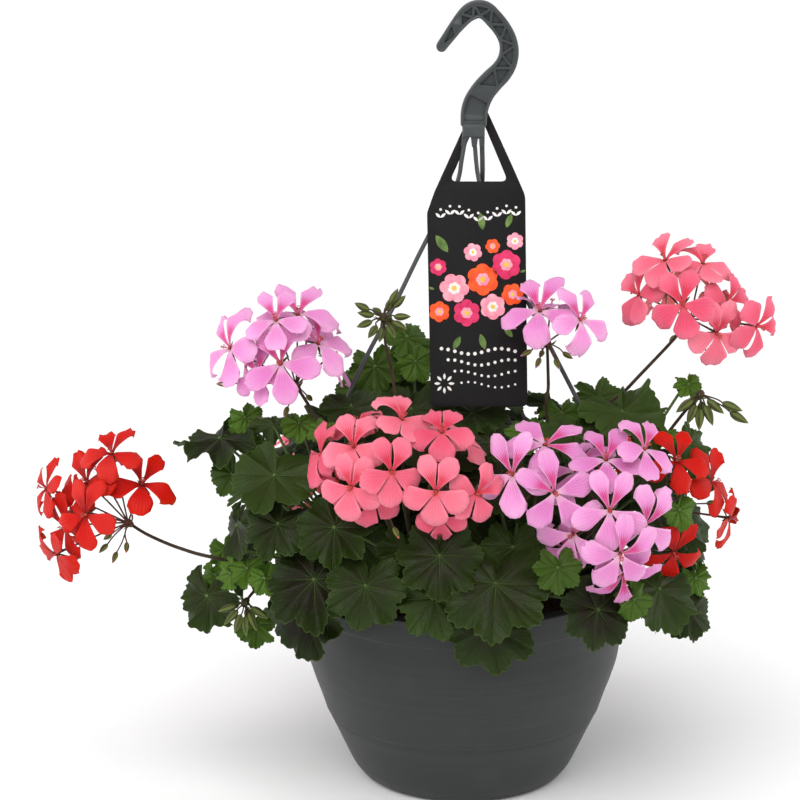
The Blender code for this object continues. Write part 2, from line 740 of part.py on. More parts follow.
def bud_stalk(root, centre, length):
    ahead = (centre - root).normalized()
    return tube([root, centre - ahead * length * 0.25], 0.75, 0.75, 3)


# Flower heads. Each floret and bud is an offset (across, back, up) from the hub in millimetres, and a
# floret's last number rolls its upper petals away from straight up

HEADS = {
    "head_lilac_middle": dict(
        colour="lilac", hub=(55, -132, 284), size=31, route=[],
        florets=[(-21, -27, 20, -6), (12, -42, 9, -38), (6, -6, 40, 170)],
        buds=[(-14, -6, -14)]),
    "head_lilac_upper_left": dict(
        colour="lilac", hub=(-136, -70, 352), size=33, route=[(-121, -78, 329), (-109, -85, 305)],
        florets=[(-53, -5, 32, 0), (-11, -35, 27, -14), (-29, -25, 16, -16), (-12, -15, 49, -12),
                 (2, 4, 60, 5), (20, -10, 40, 3), (31, -20, 20, 30), (-26, 30, 26, 0), (8, 40, 28, 0),
                 (34, 22, 22, 0)],
        buds=[(-46, -12, 4), (-6, -12, -14), (8, 14, -12)]),
    "head_lilac_small": dict(
        colour="lilac", hub=(65, -60, 385), size=31, route=[(66.5, -58, 350), (67, -58, 316)],
        florets=[(-7, -10, 29, 0), (20, -15, 19, 8), (4, 24, 24, 0)],
        buds=[(-13, -4, -6), (-6, -9, -11), (6, -8, -12), (13, 2, -9), (-3, 10, -10)]),
    "head_lilac_right": dict(
        colour="lilac", hub=(107, -136, 263), size=31, route=[],
        florets=[(2, -42, 17, 4), (-29, -36, -7, 20), (-39, -24, -28, 0), (9, -44, -14, 30),
                 (31, -27, 0, 10), (1, -8, 49, 5), (28, 0, 50, 20), (14, -28, -38, 150),
                 (38, -14, 17, 60), (-22, 12, 34, 0)],
        buds=[(20, 14, -12)]),
    "head_salmon_left": dict(
        colour="salmon", hub=(-76, -136, 295), size=28, route=[],
        florets=[(25, 2, 47, 0), (-13, -18, 30, 0), (-40, 8, 16, 0), (-33, -10, -2, 40), (17, -42, 16, 0),
                 (-14, -38, 3, 10), (4, -38, -12, -10), (-10, 26, 36, 0)],
        buds=[(16, -20, -30)]),
    "head_salmon_middle": dict(
        colour="salmon", hub=(-19, -138, 286), size=29, route=[],
        florets=[(-1, -5, 46, 0), (-6, -42, 10, 5), (-2, -34, -14, 0), (22, -27, 5, 15), (14, 18, 34, 0)],
        buds=[]),
    "head_salmon_upper_right": dict(
        colour="salmon", hub=(183, -20, 395), size=29,
        route=[(168, -22, 376), (133, -28, 339), (102, -36, 305)],
        florets=[(-43, 0, 20, -40), (-20, 3, 45, 0), (-10, -36, 20, -10), (10, 4, 46, 0),
                 (10, -34, 22, 10), (20, -32, -6, 0), (34, -18, 19, 20), (49, -12, -3, 60),
                 (40, -8, -24, 80), (-18, 32, 16, 0), (22, 32, 12, 0)],
        buds=[(12, -6, -24), (-10, 10, -16)]),
    "head_red_left": dict(
        colour="red", hub=(-274, -60, 234), size=29,
        route=[(-257, -60, 223), (-230, -62, 212), (-195, -66, 204)],
        florets=[(-11, -10, 62, 0), (13, -10, 36, 20), (-34, -18, 42, -15), (-29, -37, 18, 0),
                 (-51, -20, 2, -20), (-60, 4, 26, -40), (-52, -12, -20, -60), (-26, 28, 34, 0),
                 (-44, 26, 2, 0)],
        buds=[(-15, -10, -14), (-8, -10, -20), (0, -14, -12), (-14, 8, -12)]),
    "head_red_right": dict(
        colour="red", hub=(152, -84, 252), size=28, route=[],
        florets=[(15, -20, 47, 0), (46, 0, 24, 10), (62, 10, -10, 60), (14, -26, -28, 0)],
        buds=[(36, -4, 6)]),
}

# Heads at the back, where the photograph doesn't reach: the hub, and how many florets stand round its axis
BACK_HEADS = {
    "head_red_back": ("red", (118, 118, 224), 7),
    "head_lilac_back": ("lilac", (22, 168, 216), 7),
    "head_salmon_back": ("salmon", (-118, 120, 222), 7),
}
BACK_REACH = 44.0

# How much the florets of the front heads turn from straight outwards towards the light and the viewer
FRONT_TURN = 0.5
GOLDEN_ANGLE = math.radians(137.5)


def umbel_offsets(count, axis, reach):
    """Offsets spread evenly over a cap round the axis, at a floret's reach from the hub."""
    turn = Vector((0, 0, 1)).rotation_difference(axis)
    offsets = []
    for k in range(count):
        height = 1 - (k + 0.5) / count * 0.95
        across = math.sqrt(1 - height * height)
        spot = Vector((across * math.cos(k * GOLDEN_ANGLE), across * math.sin(k * GOLDEN_ANGLE), height))
        offsets.append(turn @ spot * reach)
    return offsets


def back_head(colour, hub, count):
    out = Vector((hub[0], hub[1], 0)).normalized()
    axis = (out + Vector((0, 0, 0.35))).normalized()
    florets = [(*offset, 0) for offset in umbel_offsets(count, axis, BACK_REACH)]
    return dict(colour=colour, hub=hub, size=28, route=[], florets=florets, buds=[], turn_forward=0.1)


def all_heads():
    heads = {name: dict(head, turn_forward=FRONT_TURN) for name, head in HEADS.items()}
    for name, entry in BACK_HEADS.items():
        heads[name] = back_head(*entry)
    return heads


def head_florets(name, head):
    """The florets of one head: centre, facing, petal size and how far each petal stands forward."""
    draw = random.Random(name)
    hub = Vector(head["hub"])
    florets = []
    for across, back, up, roll in head["florets"]:
        offset = Vector((across, back, up))
        normal = offset.normalized() + Vector((0, -head["turn_forward"], 0))
        rolled = Quaternion(offset.normalized(), -math.radians(roll)) @ Vector((0, 0.25, 1))
        cup = [draw.uniform(-0.10, 0.16) for _ in PETAL_ANGLES]
        size = head["size"] * draw.uniform(0.94, 1.04)
        florets.append(dict(hub=hub, centre=hub + offset, normal=normal, up=rolled, size=size, cup=cup))
    return florets


# Closed bud clusters on stalks of their own: the cluster's middle, the stalk's route and the buds' offsets
BUD_CLUSTERS = [
    dict(middle=(-66, -74, 409), route=[(-64, -74, 385), (-57, -72, 347)], length=11, width=4.6,
         buds=[(-16, -4, 9), (-13, -3, 3), (-14, -6, -4), (-8, -10, -9), (-2, -11, -11), (6, -9, -9),
               (12, -6, -5), (14, -3, 1), (8, 0, 16), (12, 4, 11), (5, 5, 9), (-5, 10, 2), (4, 11, -4),
               (9, 8, -8)]),
    dict(middle=(189, -60, 342), route=[(186, -60, 337), (170, -58, 318)], length=14, width=5.5,
         buds=[(-12, -4, -8), (-7, -6, -14), (-1, -7, -18), (6, -5, -15), (11, -2, -9), (24, -4, -9),
               (30, -3, -18), (2, 6, -14), (-8, 6, -9)]),
    dict(middle=(-178, -98, 178), route=[(-171, -94, 186), (-162, -86, 192)], length=13, width=5,
         buds=[(-10, -4, -10), (-5, -7, -14), (1, -7, -16), (6, -5, -13), (11, -2, -7), (-13, 2, -5),
               (3, 5, -13)]),
]


# Leaves seen from the front: the top of the stalk (x, y, z), width, lean of the blade from level, the way
# it leans (-90 towards the viewer) and its roll
FRONT_LEAVES = [
    (-209, -75, 176, 54, 75, -122, 0), (-120, -148, 214, 76, 48, -104, 8),
    (-79, -160, 212, 62, 72, -95, -10), (-26, -166, 205, 58, 74, -92, 12),
    (22, -168, 216, 84, 46, -88, -6), (18, -158, 180, 70, 80, -90, 10),
    (103, -150, 190, 58, 64, -64, -20), (158, -118, 200, 76, 60, -48, 6), (132, -142, 196, 34, 62, -60, 30),
    (-153, -108, 290, 78, 30, -116, 5), (-149, -128, 254, 54, 46, -110, -12),
    (-184, -88, 240, 54, 78, -165, 0), (-199, -42, 300, 66, 14, -150, 20), (-155, -56, 314, 40, 42, 100, 0),
    (-133, -78, 322, 30, 36, -90, 0), (-92, -70, 334, 50, 30, -84, 10),
    (-114, -92, 318, 30, 38, -100, -15), (-44, -52, 331, 68, 36, -92, 0),
    (-47, 8, 372, 40, 40, -60, 0), (50, -62, 311, 54, 32, -90, 5), (87, -76, 309, 54, 32, -82, -8),
    (80, -46, 328, 44, 20, -80, 0), (126, -60, 322, 72, 20, -78, 6), (154, -72, 310, 50, 38, -58, 0),
    (181, -60, 300, 42, 48, -48, 12), (168, -118, 262, 30, 60, -60, 0), (190, -62, 276, 34, 60, -40, 0),
    (6, -32, 318, 54, 26, -90, -12), (22, -64, 303, 52, 36, -90, 8), (-176, -112, 214, 30, 50, -112, 0),
    (-160, -120, 206, 26, 60, -90, 20), (-189, -100, 204, 26, 66, -132, -20),
    (-104, -146, 256, 58, 50, -100, 0), (-22, -168, 240, 64, 52, -92, 0),
    (147, -90, 286, 48, 42, -56, 0), (-62, -130, 262, 70, 45, -96, 0),
    (60, -134, 254, 70, 46, -84, 0), (106, -118, 246, 62, 50, -68, 0), (22, -112, 286, 62, 36, -90, 0),
    (-22, -96, 302, 58, 30, -90, 15), (-96, -106, 298, 54, 34, -100, 0), (66, -160, 226, 56, 60, -78, 0),
    (48, -118, 262, 44, 48, -88, 0), (72, -146, 232, 46, 58, -78, 0), (36, -140, 238, 48, 54, -88, 0),
    (-62, -116, 252, 50, 44, -96, 0), (-48, -140, 236, 46, 56, -94, 0), (84, -128, 232, 44, 54, -72, 0),
]

# The rest of the crown follows a spiral over a flattened dome that hangs over the rim
DOME_CENTRE = 200.0
DOME_RADIUS = 186.0
DOME_RISE = 118.0
DOME_LEAVES = 150
INNER_LEAVES = 40
INNER_SHARE = 0.78
LEAF_SPACING = 44.0


def dome_leaf(index, count, share, draw):
    """A leaf of the spiral: its place on the dome, leaning the way the dome slopes."""
    azimuth = index * GOLDEN_ANGLE
    level = 1.0 - (index + 0.5) / count * 1.28
    across = math.sqrt(max(0.0, 1 - level * level)) if level > 0 else 1.0 + 0.08 * level
    jitter = [draw.uniform(-1, 1) for _ in range(7)]
    radius = (DOME_RADIUS * across + 7 * jitter[0]) * share
    height = DOME_CENTRE + (DOME_RISE * level + 6 * jitter[1]) * share
    if level < 0:
        height = DOME_CENTRE + 120 * level
    joint = Vector((radius * math.cos(azimuth), 0.9 * radius * math.sin(azimuth), height))
    slope = math.degrees(math.atan2(across * DOME_RISE, max(level, 0.05) * DOME_RADIUS))
    lean = min(82.0, 14 + 0.72 * slope + 12 * jitter[2])
    width = 62 + 16 * jitter[3] - (10 if share < 1 else 0)
    return (*joint, width, lean, math.degrees(azimuth) + 22 * jitter[4], 30 * jitter[5])


def leaf_record(entry, index):
    x, y, z, width, lean, face, roll = entry
    draw = random.Random(1000 + index)
    droop, wave = draw.uniform(0.02, 0.09), draw.uniform(0.02, 0.045)
    return dict(joint=Vector((x, y, z)), width=width, lean=lean, face=face, roll=roll, droop=droop,
                wave=wave, phase=draw.uniform(0, 360))


def nearest_stem(point):
    best = None
    for k, place in enumerate(stem_places()):
        tip = stem_path(place)[-1]
        gap = Vector((point.x - tip.x, point.y - tip.y, 0.5 * (point.z - tip.z))).length
        if best is None or gap < best[0]:
            best = (gap, k)
    return best[1]


def root_on_stem(k, height):
    """The place on a stem where a stalk that ends at this height leaves it, and the way it leaves."""
    path = curve_through(stem_path(stem_places()[k])[1:], 13)
    share = min(1.0, max(0.2, (height - 170.0) / 130.0))
    root = path[round(share * 11)]
    return root


def rooted(leaf):
    k = nearest_stem(leaf["joint"])
    root = root_on_stem(k, leaf["joint"].z)
    toward = (leaf["joint"] - root).normalized()
    leaf["stem"] = k
    leaf["root"] = root
    leaf["root_lean"] = (toward + Vector((0, 0, 0.55))).normalized()
    return leaf


class Crowd:
    """What is already in place, so that each new blade or stalk can be kept clear of it."""

    def __init__(self):
        self.items = []

    def add(self, solid, owner, kind):
        points, faces = solid
        tree = BVHTree.FromPolygons([tuple(p) for p in points], faces)
        low = [min(p[k] for p in points) for k in range(3)]
        high = [max(p[k] for p in points) for k in range(3)]
        self.items.append((tree, low, high, owner, kind))

    def free(self, solid, owner=None, kinds=()):
        """True where the solid meets nothing, apart from its own owner's pieces of the kinds named."""
        points, faces = solid
        low = [min(p[k] for p in points) for k in range(3)]
        high = [max(p[k] for p in points) for k in range(3)]
        tree = None
        for other, other_low, other_high, other_owner, kind in self.items:
            if owner == other_owner and kind in kinds:
                continue
            if any(low[k] > other_high[k] or high[k] < other_low[k] for k in range(3)):
                continue
            if tree is None:
                tree = BVHTree.FromPolygons([tuple(p) for p in points], faces)
            if tree.overlap(other):
                return False
        return True


def crowd_of(things):
    crowd = Crowd()
    for thing in things:
        mesh = evaluated_mesh(thing)
        points = [thing.matrix_world @ v.co / MM for v in mesh.vertices]
        crowd.add((points, [tuple(p.vertices) for p in mesh.polygons]), thing.name, "made")
    return crowd


def blade_of(solid, edge_count):
    points, faces = solid
    return points, [face for face in faces if min(face) < edge_count]


def stalk_of(solid, edge_count):
    points, faces = solid
    used = points[edge_count + 1:]
    return used, [tuple(k - edge_count - 1 for k in face) for face in faces if min(face) > edge_count]


def swollen(solid, edge_count, ring_count):
    """The stalk's rings drawn half a millimetre wider."""
    points, faces = solid
    base = edge_count + 1
    wide = list(points)
    for r in range(ring_count):
        ring = range(base + 3 * r, base + 3 * r + 3)
        middle = (points[ring[0]] + points[ring[1]] + points[ring[2]]) / 3
        for k in ring:
            wide[k] = middle + (points[k] - middle) * (1 + 0.5 / (points[k] - middle).length)
    return stalk_of((wide, faces), edge_count)


def place_florets(name, head, crowd):
    """Picks each floret's first trial that is clear of everything placed so far."""
    solids = []
    for floret in head_florets(name, head):
        for trial in FLORET_TRIALS:
            solid = floret_solid(floret, trial)
            up = Vector(floret["normal"]).normalized()
            count = FLORET_POINTS
            if not crowd.free(guard(solid, count, up)):
                continue
            stalk = swollen(solid, count, 3)
            if not crowd.free(stalk, name, ("stalk", "hub")):
                continue
            solids.append(solid)
            crowd.add(blade_of(solid, count), name, "blade")
            crowd.add(stalk_of(solid, count), name, "stalk")
            break
    return solids


def place_leaf(leaf, crowd):
    owner = f"leafy_stem_{leaf['stem']}"
    count = len(leaf_outline_angles())
    for trial in LEAF_TRIALS:
        frame = leaf_frame(leaf, trial[1])
        up = frame @ Vector((0, 0, 1))
        first = leaf_solid(leaf, trial, 0.0)
        if not crowd.free(guard(first, count, up)):
            continue
        for bow in STALK_BOWS:
            solid = leaf_solid(leaf, trial, bow)
            if crowd.free(swollen(solid, count, 4), owner, ("stalk", "stem")):
                crowd.add(blade_of(solid, count), owner, "blade")
                crowd.add(stalk_of(solid, count), owner, "stalk")
                return solid
    return None


def place_leaves(stems, crowd):
    """The leaves seen from the front first, then those of the dome that aren't too near another leaf."""
    joints = []
    wanted = [(entry, 0.0) for entry in FRONT_LEAVES]
    draw = random.Random(7)
    for count, share in ((DOME_LEAVES, 1.0), (INNER_LEAVES, INNER_SHARE)):
        spacing = LEAF_SPACING if share == 1.0 else 0.9 * LEAF_SPACING
        wanted += [(dome_leaf(i, count, share, draw), spacing) for i in range(count)]
    for index, (entry, spacing) in enumerate(wanted):
        leaf = rooted(leaf_record(entry, index))
        if any((leaf["joint"] - joint).length < spacing for joint in joints):
            continue
        solid = place_leaf(leaf, crowd)
        if solid:
            joints.append(leaf["joint"])
            stems[leaf["stem"]].append(solid)


def hub_solid(centre, peduncle_end):
    """A small knob at the top of a flower's stalk, where all its florets spring from."""
    ahead = (centre - peduncle_end).normalized()
    path = [centre - ahead * 0.8 * HUB_RADIUS, centre - ahead * 0.2 * HUB_RADIUS,
            centre + ahead * 0.5 * HUB_RADIUS, centre + ahead * HUB_RADIUS]
    radii = [PEDUNCLE_RADIUS * 1.1, HUB_RADIUS, 0.9 * HUB_RADIUS, 0.4 * HUB_RADIUS]
    return skin(rings_along(path, radii, 6))


def peduncle_path(head):
    """From the stem up to just short of the hub."""
    hub = Vector(head["hub"])
    route = [Vector(p) for p in head["route"]]
    last = route[-1] if route else hub
    k = nearest_stem(last if route else Vector((hub.x * 0.8, hub.y * 0.8, hub.z - 40)))
    root = root_on_stem(k, last.z - 40)
    if route:
        knots = [root] + route[::-1] + [hub]
    else:
        low = root + (hub - root) * 0.45 + Vector((0, 0, -6))
        knots = [root, low, hub + (root - hub) * 0.2 + Vector((0, 0, -7)), hub]
    path = curve_through(knots, 6)
    ahead = (path[-1] - path[-2]).normalized()
    path[-1] = hub - ahead * (0.8 * HUB_RADIUS + CLEARANCE)
    return k, path


def joined(name, solids, collection, material):
    """One body from several solids that run into each other."""
    base = add_solid(name, solids[0], collection, material)
    if len(solids) > 1:
        others = new_collection(name + "_pieces")
        for k, solid in enumerate(solids[1:]):
            add_solid(f"{name}_piece_{k}", solid, others)
        fuse(base, others)
    return base


def make_plants(collection, made):
    colours = {
        "lilac": principled("petal_lilac", "#ee9fe0", 0.5),
        "salmon": principled("petal_salmon", "#fb7d8e", 0.5),
        "red": principled("petal_red", "#e2200f", 0.5),
    }
    green = principled("geranium_leaf", "#3a5228", 0.5)
    crowd = crowd_of(made)
    stems = {k: [stem_solid(place)] for k, place in enumerate(stem_places())}
    for k, solids in stems.items():
        crowd.add(solids[0], f"leafy_stem_{k}", "stem")
    heads = all_heads()
    head_solids = {}
    for name, head in heads.items():
        k, path = peduncle_path(head)
        stalk = tube(path, PEDUNCLE_RADIUS, PEDUNCLE_RADIUS * 0.85, 4)
        stems[k].append(stalk)
        crowd.add(stalk, f"leafy_stem_{k}", "stalk")
        hub = hub_solid(Vector(head["hub"]), path[-1])
        crowd.add(hub, name, "hub")
        head_solids[name] = [hub]
    for name, head in heads.items():
        centre = Vector(head["hub"])
        for offset in head["buds"]:
            bud = centre + Vector(offset) * 1.25
            for solid in (bud_stalk(centre, bud, 9), bud_solid(centre, bud, 9, 4.2)):
                head_solids[name].append(solid)
                crowd.add(solid, name, "stalk")
    for cluster in BUD_CLUSTERS:
        middle = Vector(cluster["middle"])
        route = [Vector(p) for p in cluster["route"]]
        k = nearest_stem(route[-1])
        path = curve_through([root_on_stem(k, route[-1].z - 40)] + route[::-1] + [middle], 6)
        pieces = [tube(path, PEDUNCLE_RADIUS * 0.9, PEDUNCLE_RADIUS * 0.8, 4)]
        for offset in cluster["buds"]:
            bud = middle + Vector(offset)
            pieces += [bud_stalk(middle, bud, cluster["length"]),
                       bud_solid(middle, bud, cluster["length"], cluster["width"])]
        for solid in pieces:
            stems[k].append(solid)
            crowd.add(solid, f"leafy_stem_{k}", "stalk")
    for name, head in heads.items():
        head_solids[name] += place_florets(name, head, crowd)
    place_leaves(stems, crowd)
    for k, solids in stems.items():
        joined(f"leafy_stem_{k}", solids, collection, green)
    for name, solids in head_solids.items():
        joined(name, solids, collection, colours[heads[name]["colour"]])


def build():
    clear_scene()
    parts = new_collection("geranium_hanging_basket")
    pot_cutters = new_collection("pot_cutters")
    soil_cutters = new_collection("soil_cutters")
    hook_cutters = new_collection("hook_cutters")
    made = [make_pot(parts, pot_cutters), make_hanger(parts, hook_cutters), make_tag(parts)]
    make_soil(parts, soil_cutters)
    bpy.context.view_layer.update()
    make_plants(parts, made)


build()
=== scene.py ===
"""The looks of a flowering trailing geranium in its hanging pot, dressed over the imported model.

The frame's units are metres, +Z up, with the viewer of the best side at -Y. Sizes here are millimetres.
"""
import json
import math
import random
from functools import partial

import bmesh
import bpy
import numpy as np
from mathutils import Matrix, Vector

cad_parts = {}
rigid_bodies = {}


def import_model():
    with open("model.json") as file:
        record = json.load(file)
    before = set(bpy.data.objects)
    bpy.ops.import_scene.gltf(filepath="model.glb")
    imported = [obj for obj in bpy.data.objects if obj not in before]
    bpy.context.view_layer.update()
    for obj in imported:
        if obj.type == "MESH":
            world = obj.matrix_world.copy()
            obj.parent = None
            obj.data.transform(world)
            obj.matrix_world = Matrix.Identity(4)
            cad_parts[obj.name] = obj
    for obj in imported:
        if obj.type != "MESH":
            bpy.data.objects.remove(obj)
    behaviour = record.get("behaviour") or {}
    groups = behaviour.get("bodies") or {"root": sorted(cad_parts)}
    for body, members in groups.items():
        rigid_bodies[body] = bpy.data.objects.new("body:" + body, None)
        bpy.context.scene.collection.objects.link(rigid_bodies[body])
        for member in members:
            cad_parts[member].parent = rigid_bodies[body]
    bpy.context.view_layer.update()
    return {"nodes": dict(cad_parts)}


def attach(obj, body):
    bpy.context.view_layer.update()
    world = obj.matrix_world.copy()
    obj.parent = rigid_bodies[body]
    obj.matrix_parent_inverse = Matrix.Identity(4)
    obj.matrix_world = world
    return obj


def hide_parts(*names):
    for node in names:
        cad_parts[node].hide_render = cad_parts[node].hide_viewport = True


for startup_object in list(bpy.data.objects):
    bpy.data.objects.remove(startup_object)
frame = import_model()
MM = 0.001
TURN = 2 * math.pi


# The pot: a bowl-shaped moulding with a band under its rim, a ledge low on its wall and a foot ring.
# Injection moulded anthracite polypropylene. Slots through the inner lip hold the hanger's clips and
# six holes in the floor let water out.

POT_TURN_STEPS = 192
POT_HEIGHT = 172
LIP_SLOT = (3.2, 4.6, 12.0)
CLIP_CIRCLE = 128.5
ARM_AZIMUTHS = {"front_left": 210, "front_right": 330, "back": 90}
DRAIN_CIRCLE = 40.0
DRAIN_PROFILE = [(0, -3), (4, -3), (4, 8), (0, 8)]
DRAIN_HOLES = 6


def through(points, count):
    """Points at even steps on a smooth curve through the given ones."""
    knots = np.array(points, float)
    knots = np.vstack([2 * knots[0] - knots[1], knots, 2 * knots[-1] - knots[-2]])
    place = np.linspace(0, len(knots) - 3, count)
    span = np.minimum(place.astype(int), len(knots) - 4)
    t = (place - span)[:, None]
    a, b, c, d = (knots[span + k] for k in range(4))
    return 0.5 * (2 * b + (c - a) * t + (2 * a - 5 * b + 4 * c - d) * t ** 2
                  + (3 * b - a - 3 * c + d) * t ** 3)


def linear(colour):
    """An sRGB hex colour as four linear values."""
    shares = [int(colour[i:i + 2], 16) / 255 for i in (1, 3, 5)]
    return [s / 12.92 if s <= 0.04045 else ((s + 0.055) / 1.055) ** 2.4 for s in shares] + [1.0]


def add_node(tree, kind, inputs=(), out=0, stops=(), **settings):
    """Adds a node and gives its output. Inputs are values or sockets, by name or in the node's own order.

    A kind in capitals is the operation of a Math node. Stops are the places and colours of a ramp.
    """
    made = tree.nodes.new("ShaderNode" + ("Math" if kind.isupper() else kind))
    if kind.isupper():
        made.operation = kind
    for name, value in settings.items():
        setattr(made, name, value)
    for name, value in inputs.items() if isinstance(inputs, dict) else enumerate(inputs):
        if isinstance(value, bpy.types.NodeSocket):
            tree.links.new(value, made.inputs[name])
        else:
            made.inputs[name].default_value = value
    for _ in stops[2:]:
        made.color_ramp.elements.new(0.5)
    for k, (place, colour) in enumerate(stops):
        made.color_ramp.elements[k].position = place
        made.color_ramp.elements[k].color = linear(colour)
    return [made.outputs[name] for name in out] if isinstance(out, tuple) else made.outputs[out]


def new_finish(name, **constants):
    """A material, what adds nodes to it and the place on its piece; constants go on the shader's sockets."""
    skin = bpy.data.materials.new(name)
    skin.use_nodes = True
    for socket, value in constants.items():
        skin.node_tree.nodes["Principled BSDF"].inputs[socket.replace("_", " ")].default_value = value
    add = partial(add_node, skin.node_tree)
    return skin, add, add("TexCoord", out="Object")


def surface(skin, colour, pattern, rough_range, height=None, strength=0.0, depth=0.0, **more):
    """Ends a finish: its colour, a roughness that follows a pattern, and a bump of a height, depth in mm."""
    rough = add_node(skin.node_tree, "MapRange", [pattern, 0.0, 1.0, *rough_range])
    ends = {"Base Color": colour, "Roughness": rough}
    if height is not None:
        raised = {"Height": height, "Strength": strength, "Distance": MM * depth, **more}
        ends["Normal"] = add_node(skin.node_tree, "Bump", raised)
    for name, socket in ends.items():
        skin.node_tree.links.new(socket, skin.node_tree.nodes["Principled BSDF"].inputs[name])
    return skin


def moulded_polypropylene():
    """Matte moulded polypropylene: dark grey, soft wide highlights, faint flow marks and rubbed patches."""
    skin, add, place = new_finish("moulded_polypropylene_anthracite", IOR=1.49, Specular_IOR_Level=0.32)
    along_flow = add("Mapping", {"Vector": place, "Scale": (7, 7, 330)})
    flow = add("TexNoise", {"Vector": along_flow, "Scale": 1.0, "Detail": 3.0})
    rubbed = add("TexNoise", {"Vector": place, "Scale": 28.0, "Detail": 5.0})
    # The mould's 0.2 mm grain is too fine to show, so it is drawn 1 mm wide
    grain = add("TexNoise", {"Vector": place, "Scale": 1000.0, "Detail": 2.0})
    colour = add("ValToRGB", [flow], stops=[(0.3, "#2a2c2c"), (0.7, "#2f3131")])
    paler_share = add("MapRange", [rubbed, 0.55, 0.8, 0.0, 0.5])
    colour = add("MixRGB", [paler_share, colour, linear("#393d3e")])
    return surface(skin, colour, rubbed, (0.4, 0.56), add("MixRGB", [0.2, grain, flow]), 0.35, 0.3)


def pot_profile():
    """Up the inside, over the lip, then band, wall, ledge, bowl and foot, as (radius, height)."""
    return [(0, 4.6), (40, 4.6), (79, 4.6), (82.6, 5.2), (85, 7),
            *through([(91, 14), (104, 41), (118.3, 75), (128.8, 110), (132, 150)], 25),
            (132.6, 168.6), (132.2, 169.3), (131.4, 169.6), (125, 169.6), (124.3, 169.8), (124, 170.4),
            (124.1, 171.4), (124.7, 171.9), (125.4, 172), (133.6, 172), (134.5, 171.7), (135, 171),
            (135, 170), (134.8, 160), (134.5, 151.6), (134.3, 150.9), (133.8, 150.4), (133.6, 149.6),
            *through([(133.4, 146), (131.2, 110), (126, 90), (120.7, 75), (115.8, 60.2)], 25),
            (115.5, 59), (115, 58), (114.2, 57.3), (113.4, 56.7), (112.9, 55.6), (112.6, 53.5),
            *through([(112, 52), (106.3, 40), (99.5, 25), (93.2, 12), (89, 6)], 17),
            (87.6, 4.2), (86, 2.4), (84, 1), (82, 0.3), (79.6, 0), (63, 0), (61.8, 0.4), (60.8, 1.3),
            (59.6, 2), (27, 2), (25.6, 1.2), (24, 0.2), (22.6, 0), (0, 0)]


def stand(name, data):
    """Puts a new object into the scene."""
    thing = bpy.data.objects.new(name, data)
    bpy.context.scene.collection.objects.link(thing)
    return thing


def turned(name, profile, steps):
    """A body of revolution from a profile of (radius, height)."""
    mesh = bpy.data.meshes.new(name)
    edges = [(i, i + 1) for i in range(len(profile) - 1)]
    mesh.from_pydata([(MM * r, 0, MM * z) for r, z in profile], edges, [])
    thing = stand(name, mesh)
    turn = thing.modifiers.new("turn", "SCREW")
    turn.steps = turn.render_steps = steps
    turn.use_merge_vertices = True
    turn.merge_threshold = 0.00002
    return thing


def block(name, centre, size, turn=0.0):
    """A plain block, turned about the vertical, in millimetres."""
    mesh = bpy.data.meshes.new(name)
    shape = bmesh.new()
    bmesh.ops.create_cube(shape, size=MM)
    bmesh.ops.scale(shape, vec=size, verts=shape.verts)
    bmesh.ops.rotate(shape, matrix=Matrix.Rotation(turn, 3, "Z"), verts=shape.verts)
    bmesh.ops.translate(shape, vec=MM * Vector(centre), verts=shape.verts)
    shape.to_mesh(mesh)
    shape.free()
    return stand(name, mesh)


def settle(thing, smooth_angle=35):
    """Applies an object's modifiers and shades it smooth below an angle between faces."""
    bpy.context.view_layer.update()
    mesh = bpy.data.meshes.new_from_object(thing.evaluated_get(bpy.context.evaluated_depsgraph_get()))
    thing.modifiers.clear()
    thing.data = mesh
    shape = bmesh.new()
    shape.from_mesh(mesh)
    bmesh.ops.recalc_face_normals(shape, faces=shape.faces)
    for face in shape.faces:
        face.smooth = True
    for edge in shape.edges:
        edge.smooth = len(edge.link_faces) == 2 and edge.calc_face_angle(0) < math.radians(smooth_angle)
    shape.to_mesh(mesh)
    shape.free()
    return thing


def dress(thing, finishes, slot, *nodes):
    """Gives a piece its finishes, fixes it to the one body and puts it in the place of its solids."""
    for finish in finishes:
        thing.data.materials.append(finish)
    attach(thing, "root")
    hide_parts(*nodes)


def clip_place(azimuth, height):
    turn = math.radians(azimuth)
    return Vector((CLIP_CIRCLE * math.cos(turn), CLIP_CIRCLE * math.sin(turn), height))


def make_pot():
    pot = turned("pot_moulding", pot_profile(), POT_TURN_STEPS)
    cutters = [block("lip_slot", clip_place(azimuth, POT_HEIGHT), LIP_SLOT, math.radians(azimuth))
               for azimuth in ARM_AZIMUTHS.values()]
    for k in range(DRAIN_HOLES):
        turn = TURN * k / DRAIN_HOLES
        hole = turned("drain_hole", DRAIN_PROFILE, 24)
        hole.location = (MM * DRAIN_CIRCLE * math.cos(turn), MM * DRAIN_CIRCLE * math.sin(turn), 0)
        cutters.append(hole)
    for cutter in cutters:
        cut = pot.modifiers.new("cut", "BOOLEAN")
        cut.object = cutter
        cut.solver = "EXACT"
    settle(pot)
    for cutter in cutters:
        bpy.data.objects.remove(cutter)
    dress(pot, [moulded_polypropylene()], "pot_plastic", "pot")


make_pot()


# The soil: loose peat compost filled to 16 mm below the rim, crumbly on top, with bark and perlite in it.
# Its sides follow the inside of the pot.

SOIL_TOP = 156.0
SOIL_EDGE = 130.6
SOIL_WALL = [(130.3, 140), (127.6, 110), (117.4, 75), (103, 41), (90, 14.4), (81, 5.1), (40, 5.1)]
SOIL_SLUMP = 4
SLUMP_START = 114
SOIL_RINGS = 56
SOIL_SPOKES = 180
SOIL_BITS = 420


